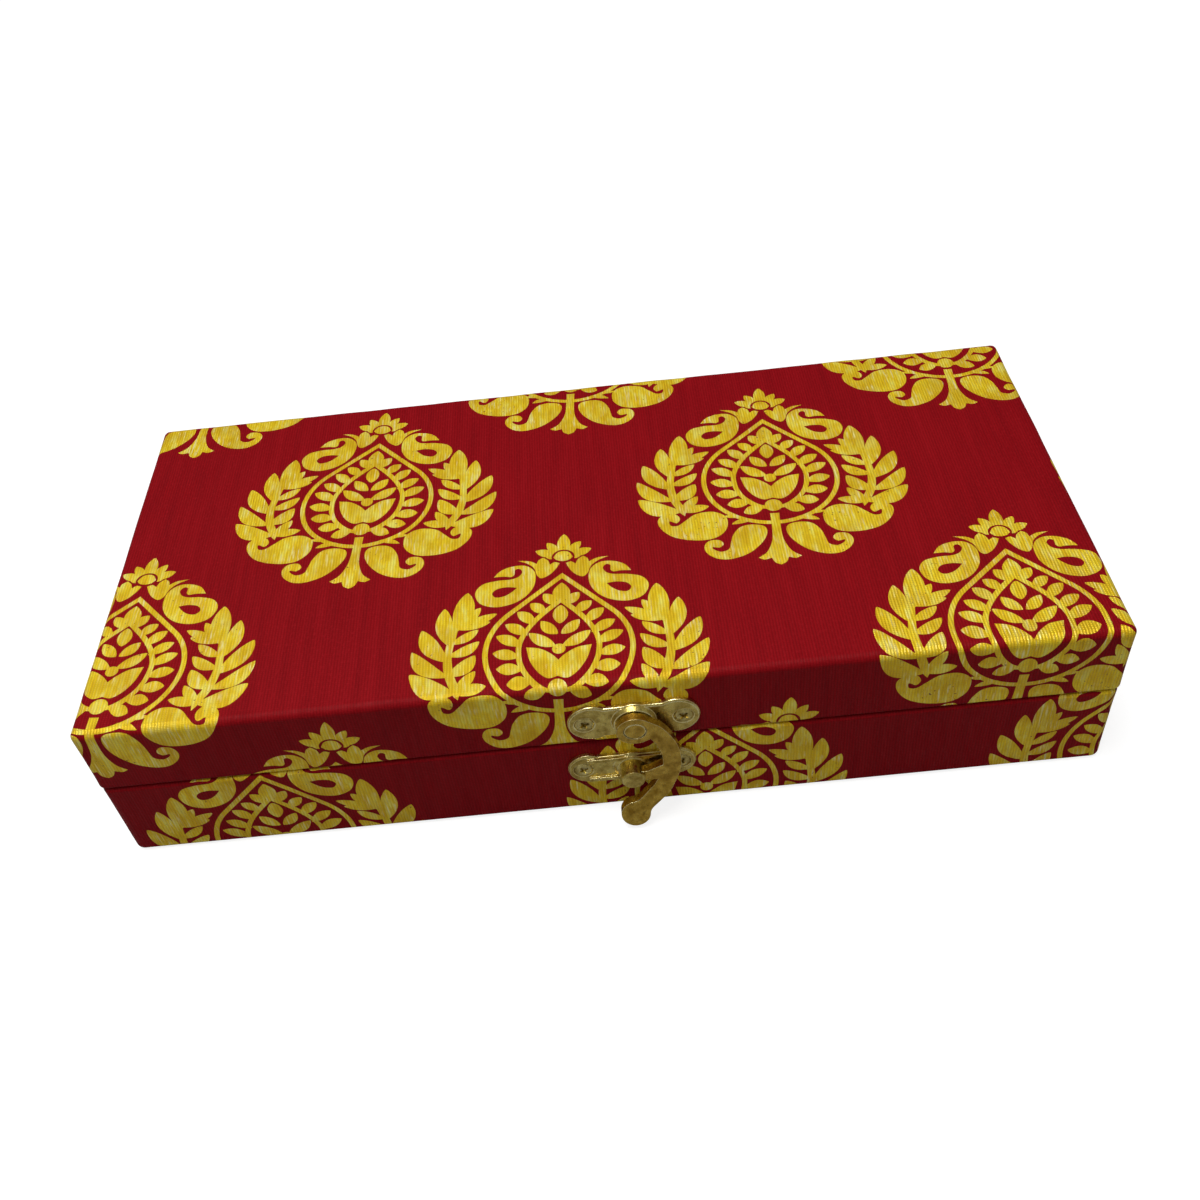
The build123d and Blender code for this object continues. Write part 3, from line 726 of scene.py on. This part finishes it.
def cloth_mesh(name, flat, place, uneven):
    """The flat cut, folded, with the first material for its red faces and the second for its gold ones."""
    points, faces, gold = flat.cut()
    at, normals = folded(place, uneven, points)
    mesh = bpy.data.meshes.new(name)
    mesh.from_pydata((at * MM).tolist(), [], faces)
    mesh.polygons.foreach_set("material_index", np.array(gold, dtype=np.int32))
    mesh.polygons.foreach_set("use_smooth", np.ones(len(mesh.polygons), dtype=bool))
    for material in (RED, GOLD):
        mesh.materials.append(material)
    corner = np.zeros(len(mesh.loops), dtype=np.int32)
    mesh.loops.foreach_get("vertex_index", corner)
    low, high = points.min(0), points.max(0)
    for layer, values in (("flat", points), ("OFBake", (points - low) / (high - low).max() * 0.98 + 0.01)):
        uv = mesh.uv_layers.new(name=layer)
        uv.uv.foreach_set("vector", values[corner].astype(np.float32).ravel())
    mesh.normals_split_custom_set_from_vertices(normals.tolist())
    return add_object(name, mesh)


def lid_cloth():
    """The lid's cover: one sheet over the top, down the walls and round the rim, its corners cut out."""
    down = TOP - LID_RIM
    reach = down + RIM_WIDTH + TURN_IN
    def corner(sx, sy):
        x, y = HALF_X - RIM_WIDTH, HALF_Y - RIM_WIDTH
        ring = [(HALF_X + reach, y), (HALF_X + down + RIM_WIDTH, y), (HALF_X + down, HALF_Y),
                (HALF_X, HALF_Y), (HALF_X, HALF_Y + down), (x, HALF_Y + down + RIM_WIDTH),
                (x, HALF_Y + reach)]
        ring = [(sx * a, sy * b) for a, b in ring]
        return ring if sx * sy > 0 else ring[::-1]
    flat = Flat(corner(1, 1) + corner(-1, 1) + corner(-1, -1) + corner(1, -1))
    top_lines = rounding_offsets(LID_ROUND)
    rim_lines = rounding_offsets(RIM_ROUND, 3)
    def levels(edge):
        """Where the mesh is split across a flap: at its three folds, and between the first two."""
        outer, inner = edge + down, edge + down + RIM_WIDTH
        found = either_side((edge,), top_lines) + either_side((outer, inner), rim_lines)
        return found + lines_between(edge + LID_ROUND, outer - RIM_ROUND, LEVEL_STEP)[1:-1]
    for sign in (-1, 1):
        for b in levels(HALF_Y):
            half = HALF_X - SHORT if b < HALF_Y + down else HALF_X - RIM_WIDTH
            flat.line((-half, sign * b), (half, sign * b), FOLD_STEP)
        for a in levels(HALF_X):
            half = HALF_Y - SHORT if a < HALF_X + down else HALF_Y - RIM_WIDTH
            flat.line((sign * a, -half), (sign * a, half), FOLD_STEP)
        for off in top_lines[:-1]:
            a, b = sign * (HALF_X - off), sign * (HALF_Y - off)
            flat.line((a, -HALF_Y - down), (a, HALF_Y + down), EDGE_STEP)
            flat.line((-HALF_X - down, b), (HALF_X + down, b), EDGE_STEP)
    for a in lines_between(-HALF_X + LID_ROUND, HALF_X - LID_ROUND, PANEL_STEP):
        flat.line((a, -HALF_Y - reach), (a, HALF_Y + reach), CROSS_STEP)
    for b in lines_between(-HALF_Y + LID_ROUND, HALF_Y - LID_ROUND, PANEL_STEP):
        flat.line((-HALF_X - reach, b), (HALF_X + reach, b), CROSS_STEP)
    def pulled(ring):
        """The cloth is drawn tight over the front edge, which moves its print down there."""
        start = FRONT_PULL_START - HALF_Y
        return [(u, v - FRONT_PULL * ease((start - v) / FRONT_PULL_LENGTH)) for u, v in ring]
    low, high = (-HALF_X - down, -HALF_Y - down), (HALF_X + down, HALF_Y + down)
    flat.print_motifs(lattice(LID_PRINT_AT, LID_PRINT_TURN, low, high), pulled)
    def fade(u, v):
        s = np.maximum(np.abs(u) - HALF_X, np.abs(v) - HALF_Y)
        return np.clip((down - RIM_ROUND - s) / FADE_LENGTH, 0, 1)
    made = cloth_mesh("lid_cloth", flat, lid_place, unevenness(11, 0.05, fade))
    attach(made, "lid")
    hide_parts("lid_cover")


def base_cloth():
    """The base's cover: a band round the walls, turned in over the rim and hemmed underneath."""
    low, high = HEM_LEVEL, BASE_RIM
    bottom, rim, top = low - HEM, high + RIM_WIDTH, high + RIM_WIDTH + TURN_IN
    lower, upper = [], []
    for start, length, *_ in SIDES:
        end = start + length
        lower += [(start, low), (start + HEM, bottom), (end - HEM, bottom)]
        upper += [(start, high), (start + RIM_WIDTH, rim), (start + RIM_WIDTH, top), (end - RIM_WIDTH, top),
                  (end - RIM_WIDTH, rim)]
    flat = Flat(lower + [(PERIMETER, low), (PERIMETER, high)] + upper[::-1])
    hem_lines = rounding_offsets(HEM_ROUND, 3)
    rim_lines = rounding_offsets(RIM_ROUND, 3)
    levels = either_side((low,), hem_lines) + either_side((high, rim), rim_lines)
    levels += lines_between(low + HEM_ROUND, high - RIM_ROUND, LEVEL_STEP)[1:-1]
    for b in levels:
        for start, length, *_ in SIDES:
            inset = 0.0 if low <= b <= high else (low - b if b < low else min(b - high, RIM_WIDTH))
            flat.line((start + inset, b), (start + length - inset, b), FOLD_STEP)
    for start, length, *_ in SIDES:
        flat.line((start, low), (start, high), FOLD_STEP)
        for off in rounding_offsets(EDGE_ROUND)[:-1]:
            flat.line((start + off, low), (start + off, high), EDGE_STEP)
            flat.line((start + length - off, low), (start + length - off, high), EDGE_STEP)
        for a in lines_between(start + EDGE_ROUND, start + length - EDGE_ROUND, PANEL_STEP):
            flat.line((a, bottom), (a, top), CROSS_STEP)
    flat.print_motifs([(u, v, 0) for u, v in BASE_PRINTS])
    def fade(u, v):
        from_hem = np.clip((v - low - HEM_ROUND) / FADE_LENGTH, 0, 1)
        return from_hem * np.clip((high - RIM_ROUND - v) / FADE_LENGTH, 0, 1)
    made = cloth_mesh("base_cloth", flat, base_place, unevenness(21, 0.04, fade))
    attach(made, "base")
    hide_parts("base_cover")


lid_cloth()
base_cloth()


# Linings, pads and the sheet underneath

def mesh_object(name, bm, material):
    mesh = bpy.data.meshes.new(name)
    bm.to_mesh(mesh)
    bm.free()
    mesh.materials.append(material)
    return add_object(name, mesh)


def finished(name, bm, body, node, material):
    """Makes the mesh a piece that rides a body and stands for a CAD node."""
    made = mesh_object(name, bm, material)
    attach(made, body)
    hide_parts(node)
    return made


def smooth_face(bm, ring):
    face = bm.faces.new(ring)
    face.smooth = True
    return face


def marks(edges, middle, count):
    """Where a sheet's grid is split along one side: close steps in from its edges, and even ones between."""
    near = [s * (edge - t) for s in (-1, 1) for edge, steps in edges for t in steps]
    return sorted(set(near + list(np.linspace(-middle, middle, count))))


def border_of(last_x, last_y):
    """The outermost places of a grid, in order round it."""
    border = [(i, 0) for i in range(last_x)] + [(last_x, j) for j in range(last_y)]
    return border + [(i, last_y) for i in range(last_x, 0, -1)] + [(0, j) for j in range(last_y, 0, -1)]


LINING_CORNER = 1.2
LINING_FOLD = 0.5
LINING_EDGE = [(0.5, 0.28), (0.44, 0.1), (0.3, 0.0), (0.14, 0.06), (0.02, 0.25)]


def running_length(points):
    """How far along a line of points each of them lies."""
    lengths = [0]
    for a, b in zip(points, points[1:]):
        lengths.append(lengths[-1] + dist(a, b))
    return lengths


def inside_ring():
    """Points round the inside of the walls: each a centre, and the way from it to the wall."""
    x, y = LINED_X - LINING_CORNER, LINED_Y - LINING_CORNER
    centres = [(x, y), (-x, y), (-x, -y), (x, -y)]
    walls = [(0, 1, 24), (-1, 0, 12), (0, -1, 24), (1, 0, 12)]
    ring = []
    for k, (facing_x, facing_y, count) in enumerate(walls):
        (x1, y1), (x2, y2) = centres[k], centres[(k + 1) % 4]
        angles = [pi / 2 * (k + i / 6) for i in range(7)]
        ring += [(x1, y1, cos(a), sin(a)) for a in angles]
        ring += [(x1 + (x2 - x1) * t, y1 + (y2 - y1) * t, facing_x, facing_y)
                 for t in np.linspace(0, 1, count)[1:-1]]
    return ring


def lining_strip(name, body, node, edge, deep, way):
    """A strip round the inside of the walls. Its edge is folded over and glued at the rim."""
    section = [(off, edge + way * back) for off, back in LINING_EDGE]
    section += [(0.0, edge + (deep - edge) * t) for t in (0.12, 0.3, 0.5, 0.7, 0.88, 1)]
    ring = inside_ring()
    waves = smooth_noise(31 if body == "base" else 32, 10, 8, 40)
    bm = bmesh.new()
    flat = bm.loops.layers.uv.new("flat")
    walls = [(cx + nx * LINING_CORNER, cy + ny * LINING_CORNER) for cx, cy, nx, ny in ring]
    runs = running_length(walls + walls[:1])
    heights = running_length(section)
    columns = []
    for k, (cx, cy, nx, ny) in enumerate(ring):
        column = []
        for off, z in section:
            stand = 0.0 if off > 0 else -0.05 * (1 + float(waves(runs[k], z)))
            reach = LINING_CORNER + off + stand
            column.append(bm.verts.new(((cx + nx * reach) * MM, (cy + ny * reach) * MM, z * MM)))
        columns.append(column)
    for k, (here, there) in enumerate(zip(columns, columns[1:] + columns[:1])):
        u1, u2 = runs[k], runs[k + 1]
        for j in range(len(section) - 1):
            corners = [(here[j], u1, heights[j]), (there[j], u2, heights[j]),
                       (there[j + 1], u2, heights[j + 1]), (here[j + 1], u1, heights[j + 1])]
            if way < 0:
                corners = corners[::-1]
            face = smooth_face(bm, [c[0] for c in corners])
            for loop, (_, u, v) in zip(face.loops, corners):
                loop[flat].uv = (u, v)
    made = finished(name, bm, body, node, LINING)


def covered_pad(name, body, node, level, rise, way):
    """A card wrapped in the lining cloth: soft edges, a slight crown, and a closed back."""
    half_x, half_y = LINED_X - PAD_CLEARANCE, LINED_Y - PAD_CLEARANCE
    edge = 0.45
    steps = [edge * t for t in (0, 0.15, 0.5, 1, 2.2)]
    xs = marks([(half_x, steps)], half_x - 4, 44)
    ys = marks([(half_y, steps)], half_y - 4, 20)
    waves = smooth_noise(41 if way > 0 else 42, 12, 10, 50)
    def height(x, y):
        inside = min(half_x - abs(x), half_y - abs(y))
        lip = edge - edge * sqrt(max(0.0, 1 - (1 - min(inside / edge, 1)) ** 2))
        lift = min(1.0, inside / 6)
        return rise - lip - 0.06 + lift * 0.03 * float(waves(x, y))
    bm = bmesh.new()
    flat = bm.loops.layers.uv.new("flat")
    grid = [[bm.verts.new((x * MM, y * MM, (level + way * height(x, y)) * MM)) for y in ys] for x in xs]
    last_x, last_y = len(xs) - 1, len(ys) - 1
    border = border_of(last_x, last_y)
    back = {(i, j): bm.verts.new((xs[i] * MM, ys[j] * MM, level * MM)) for i, j in sorted(border)}
    def add(ring, places):
        if way < 0:
            ring, places = ring[::-1], places[::-1]
        for loop, place in zip(smooth_face(bm, ring).loops, places):
            loop[flat].uv = place
    for i in range(last_x):
        for j in range(last_y):
            cells = [(i, j), (i + 1, j), (i + 1, j + 1), (i, j + 1)]
            add([grid[a][b] for a, b in cells], [(xs[a], ys[b]) for a, b in cells])
    for (a, b), (c, d) in zip(border, border[1:] + border[:1]):
        add([back[a, b], back[c, d], grid[c][d], grid[a][b]],
            [(xs[a], ys[b] - 1), (xs[c], ys[d] - 1), (xs[c], ys[d]), (xs[a], ys[b])])
    add([back[place] for place in reversed(border)], [(xs[a], ys[b]) for a, b in reversed(border)])
    finished(name, bm, body, node, LINING)


lining_strip("base_lining", "base", "base_wall_lining", BASE_RIM - LINING_FOLD, FLOOR, -1)
lining_strip("lid_lining", "lid", "lid_wall_lining", LID_RIM + LINING_FOLD, CEILING, 1)
covered_pad("base_pad", "base", "base_floor_lining", FLOOR, PAD_DEPTH, 1)
covered_pad("lid_pad", "lid", "lid_ceiling_lining", CEILING, PAD_DEPTH, -1)


def underside():
    """Paper pasted over the hem. It dips where the hem's cloth ends under it."""
    half_x, half_y = HALF_X - UNDERSIDE_MARGIN, HALF_Y - UNDERSIDE_MARGIN
    sheet = 0.28
    edge, dip = (0, 0.4, 2), (-1.2, -0.5, 0, 0.6, 1.4)
    xs = marks([(half_x, edge), (HALF_X - HEM, dip)], 78, 27)
    ys = marks([(half_y, edge), (HALF_Y - HEM, dip)], 29, 13)
    waves = smooth_noise(51, 12, 6, 40)
    def level(x, y):
        inside = min(HALF_X - HEM - abs(x), HALF_Y - HEM - abs(y))
        return ease((inside + 1.2) / 2.6) * (0.32 + 0.05 * float(waves(x, y)))
    bm = bmesh.new()
    low = [[bm.verts.new((x * MM, y * MM, level(x, y) * MM)) for y in ys] for x in xs]
    high = [[bm.verts.new((x * MM, y * MM, (level(x, y) + sheet) * MM)) for y in ys] for x in xs]
    last_x, last_y = len(xs) - 1, len(ys) - 1
    for i in range(last_x):
        for j in range(last_y):
            smooth_face(bm, [low[i][j], low[i][j + 1], low[i + 1][j + 1], low[i + 1][j]])
            smooth_face(bm, [high[i][j], high[i + 1][j], high[i + 1][j + 1], high[i][j + 1]])
    border = border_of(last_x, last_y)
    for (a, b), (c, d) in zip(border, border[1:] + border[:1]):
        bm.faces.new([low[a][b], low[c][d], high[c][d], high[a][b]])
    made = finished("underside_paper", bm, "base", "base_underside_sheet", PAPER)


underside()


# The boards keep their shapes. Metal pieces get rubbed edges, and screws get cross recesses.

SHARP = radians(28)
SCREW_SIDES = 32
SCREW_DOME = 0.1
SCREW_SHANK = [(0.85, -0.98), (0.8, -3.2), (0.12, -3.95)]
RECESS = 0.6


def rubbed(node, body, material, width):
    """A metal piece with its sharp edges rounded, as tumbling and handling leave them."""
    bm = bmesh.new()
    bm.from_mesh(nodes[node].data)
    bmesh.ops.remove_doubles(bm, verts=bm.verts, dist=1e-6)
    bmesh.ops.dissolve_limit(bm, angle_limit=radians(1), verts=bm.verts, edges=bm.edges)
    for face in bm.faces:
        face.smooth = True
        face.material_index = 0
    for edge in bm.edges:
        edge.smooth = edge.calc_face_angle(0) < SHARP
    name = node.replace("clasp", "brass").replace("hinge", "brass_hinge")
    made = finished(name, bm, body, node, material)
    made.data.materials.append(EDGE_BRASS)
    edges = made.modifiers.new("rubbed_edges", "BEVEL")
    edges.material = 1
    edges.width = width * MM
    edges.segments = 3
    edges.limit_method = "ANGLE"
    edges.angle_limit = SHARP
    edges.miter_outer = "MITER_ARC"
    edges.harden_normals = True


def cross(half, arm, turn):
    """The outline of a cross recess, counter-clockwise."""
    quarter = [(half, -arm), (half, arm), (arm, arm)]
    angles = [turn + k * pi / 2 for k in range(4)]
    return [(x * cos(a) - y * sin(a), x * sin(a) + y * cos(a)) for a in angles for x, y in quarter]


def screw(bm, x, y, z, way, radius, turn):
    """A countersunk screw with a cross recess. Its face is at y, and way is 1 where that looks along +Y."""
    turns = [2 * pi * i / SCREW_SIDES for i in range(SCREW_SIDES)]
    ring = [(radius * cos(a), radius * sin(a)) for a in turns]
    middle = [(0.8 * a, 0.8 * b) for a, b in ring]
    top = cross(0.55 * radius, 0.13 * radius, turn)
    low = cross(0.3 * radius, 0.08 * radius, turn)
    first, second = len(ring), len(ring) + len(middle)
    loops = [list(range(first)), list(range(first, second)), list(range(second, second + len(top)))]
    points, _, faces, _, _, came_from = delaunay_2d_cdt(
        [Vector(p) for p in ring + middle + top], [], loops, 0, 1e-6)
    made = {}
    def vertex(a, b, out):
        key = (round(a, 4), round(b, 4), round(out, 4))
        if key not in made:
            made[key] = bm.verts.new(((x - way * a) * MM, (y + way * out) * MM, (z + b) * MM))
        return made[key]
    def dome(a, b):
        return vertex(a, b, SCREW_DOME - 2 * SCREW_DOME * ((a * a + b * b) / radius ** 2) ** 2)
    for face, origin in zip(faces, came_from):
        if 2 not in origin:
            smooth_face(bm, [dome(*points[i]) for i in face])
    for i in range(len(top)):
        j = (i + 1) % len(top)
        bm.faces.new([dome(*top[j]), dome(*top[i]), vertex(*low[i], -RECESS), vertex(*low[j], -RECESS)])
    bm.faces.new([vertex(a, b, -RECESS) for a, b in low])
    rows = [[dome(a, b) for a, b in ring]]
    for size, out in [(radius * 0.985, -2 * SCREW_DOME)] + SCREW_SHANK:
        rows.append([vertex(a * size / radius, b * size / radius, out) for a, b in ring])
    for here, there in zip(rows, rows[1:]):
        for i in range(SCREW_SIDES):
            j = (i + 1) % SCREW_SIDES
            smooth_face(bm, [here[j], here[i], there[i], there[j]])
    bm.faces.new(rows[-1][::-1])


def screws(name, node, body, places, y, way, radius):
    """A set of screws, each with its recess turned its own way."""
    bm = bmesh.new()
    for i, (x, z) in enumerate(places):
        screw(bm, x, y, z, way, radius, 0.5 + 1.9 * i)
    bmesh.ops.recalc_face_normals(bm, faces=bm.faces)
    finished(name, bm, body, node, SCREW_BRASS)


for name, node in nodes.items():
    if name.endswith(("_panel", "_wall")):
        for slot in node.material_slots:
            slot.link = "OBJECT"
            slot.material = BOARD

rubbed("clasp_hook", "hook", HOOK_BRASS, 0.42)
rubbed("clasp_rivet", "lid", HOOK_BRASS, 0.2)
rubbed("clasp_upper_plate", "lid", BRASS, 0.26)
rubbed("clasp_lower_plate", "base", BRASS, 0.22)
rubbed("clasp_stud", "base", BRASS, 0.28)
for side in ("left", "right"):
    rubbed("hinge_" + side + "_base_leaf", "base", BRASS, 0.12)
    rubbed("hinge_" + side + "_lid_leaf", "lid", BRASS, 0.12)
    rubbed("hinge_" + side + "_pin", "base", HOOK_BRASS, 0.15)


def beside(centre, spread, z):
    """The places of two screws at one height, either side of a centre."""
    return [(centre - spread / 2, z), (centre + spread / 2, z)]


def hinge_places(z):
    centre = HALF_X - HINGE_INSET
    return beside(-centre, HINGE_SCREW_SPREAD, z) + beside(centre, HINGE_SCREW_SPREAD, z)


upper_x, upper_z = UPPER_PLATE_AT
lower_x, lower_z = LOWER_PLATE_AT
screws("upper_clasp_screws", "clasp_upper_screws", "lid", beside(upper_x, UPPER_SCREW_SPREAD, upper_z),
       CLASP_FACE, -1, CLASP_SCREW_RADIUS)
screws("lower_clasp_screws", "clasp_lower_screws", "base", beside(lower_x, LOWER_SCREW_SPREAD, lower_z),
       CLASP_FACE, -1, CLASP_SCREW_RADIUS)
screws("base_hinge_screws", "hinge_base_screws", "base", hinge_places(BASE_HEIGHT - HINGE_SCREW_DROP),
       LEAF_FACE, 1, HINGE_SCREW_RADIUS)
screws("lid_hinge_screws", "hinge_lid_screws", "lid", hinge_places(BASE_HEIGHT + HINGE_SCREW_DROP),
       LEAF_FACE, 1, HINGE_SCREW_RADIUS)


# Camera, lamps and floor

# The photo's camera, in degrees, millimetres and the photo's pixels
AZIMUTH, ELEVATION, ROLL = -1.83, 44.97, -7.08
DISTANCE = 255.5
TARGET = Vector((1.0, -8.1, 20.0))
FOCAL_PIXELS, PHOTO_PIXELS = 1241.1, 1200
SENSOR = 36


def camera():
    azimuth, elevation, roll = radians(AZIMUTH), radians(ELEVATION), radians(ROLL)
    away = Vector((sin(azimuth) * cos(elevation), cos(azimuth) * cos(elevation), -sin(elevation)))
    right = away.cross(Vector((0, 0, 1))).normalized()
    up = right.cross(away)
    tilted_right = right * cos(roll) + up * sin(roll)
    tilted_up = up * cos(roll) - right * sin(roll)
    data = bpy.data.cameras.new("camera")
    data.sensor_width = SENSOR
    data.lens = FOCAL_PIXELS * SENSOR / PHOTO_PIXELS
    data.clip_start = 0.01
    data.clip_end = 20
    made = add_object("camera", data)
    place = Matrix((tilted_right, tilted_up, -away)).transposed().to_4x4()
    place.translation = (TARGET - away * DISTANCE) * MM
    made.matrix_world = place
    bpy.context.scene.camera = made


def lamp(name, at, size, power):
    """A rectangular lamp that looks at the box. In metres and watts."""
    data = bpy.data.lights.new(name, "AREA")
    data.shape = "RECTANGLE"
    data.size, data.size_y = size
    data.energy = power
    made = add_object(name, data)
    made.location = at
    made.rotation_euler = (Vector((0, 0, 0.02)) - Vector(at)).to_track_quat("-Z", "Y").to_euler()


# The floor's depth before the bend and the backdrop's bend and height, in metres
FLOOR_NEAR, FLOOR_FAR = -2.5, 1.6
BEND, BACKDROP_TOP = 0.8, 2.6
FLOOR_HALF_WIDTH = 3
FLOOR_DROP = 0.00002
GLOW = 0.84
WORLD_LIGHT = 0.25
WHITE = (1, 1, 1, 1)


def floor_and_backdrop():
    """A pale floor that bends up into a backdrop. It glows for the camera alone, and so adds no light."""
    bm = bmesh.new()
    bend = [pi / 2 * i / 10 for i in range(1, 11)]
    profile = [(FLOOR_NEAR, 0.0), (FLOOR_FAR, 0.0)]
    profile += [(FLOOR_FAR + BEND * sin(a), BEND - BEND * cos(a)) for a in bend]
    profile += [(FLOOR_FAR + BEND, BACKDROP_TOP)]
    rows = [[bm.verts.new((x, y, z - FLOOR_DROP)) for x in (-FLOOR_HALF_WIDTH, FLOOR_HALF_WIDTH)]
            for y, z in profile]
    for a, b in zip(rows, rows[1:]):
        smooth_face(bm, [a[0], a[1], b[1], b[0]])
    n = Nodes("pale_floor")
    grain = n.noise(n.at(), 0.02, 3.0)
    shade = n.ramp(grain, [(0.3, (146, 146, 146)), (0.7, (152, 152, 152))])
    n.set(Base_Color=shade, Roughness=0.9, Specular_IOR_Level=0.0)
    glow = n.node("Emission", {"Color": WHITE, "Strength": GLOW})
    glowing = n.node("AddShader", {0: n.shader.outputs[0], 1: glow.outputs[0]})
    n.put(n.out, "Surface", n.camera_sees(glowing, n.shader))
    mesh_object("floor", bm, n.material)


def world():
    """An even, weak light all round, which the camera sees as white."""
    made = bpy.data.worlds.new("studio")
    t = Tree(made)
    light, shown = (t.node("Background", {"Color": WHITE, "Strength": x}) for x in (WORLD_LIGHT, 1))
    t.node("OutputWorld", {"Surface": t.camera_sees(shown, light)})
    bpy.context.scene.world = made


camera()
world()
floor_and_backdrop()
lamp("key", (-0.15, -0.05, 0.9), (0.6, 0.4), 6.6)
lamp("fill", (-0.7, -0.6, 0.6), (0.4, 0.4), 0.25)
bpy.context.scene.view_settings.view_transform = "Standard"
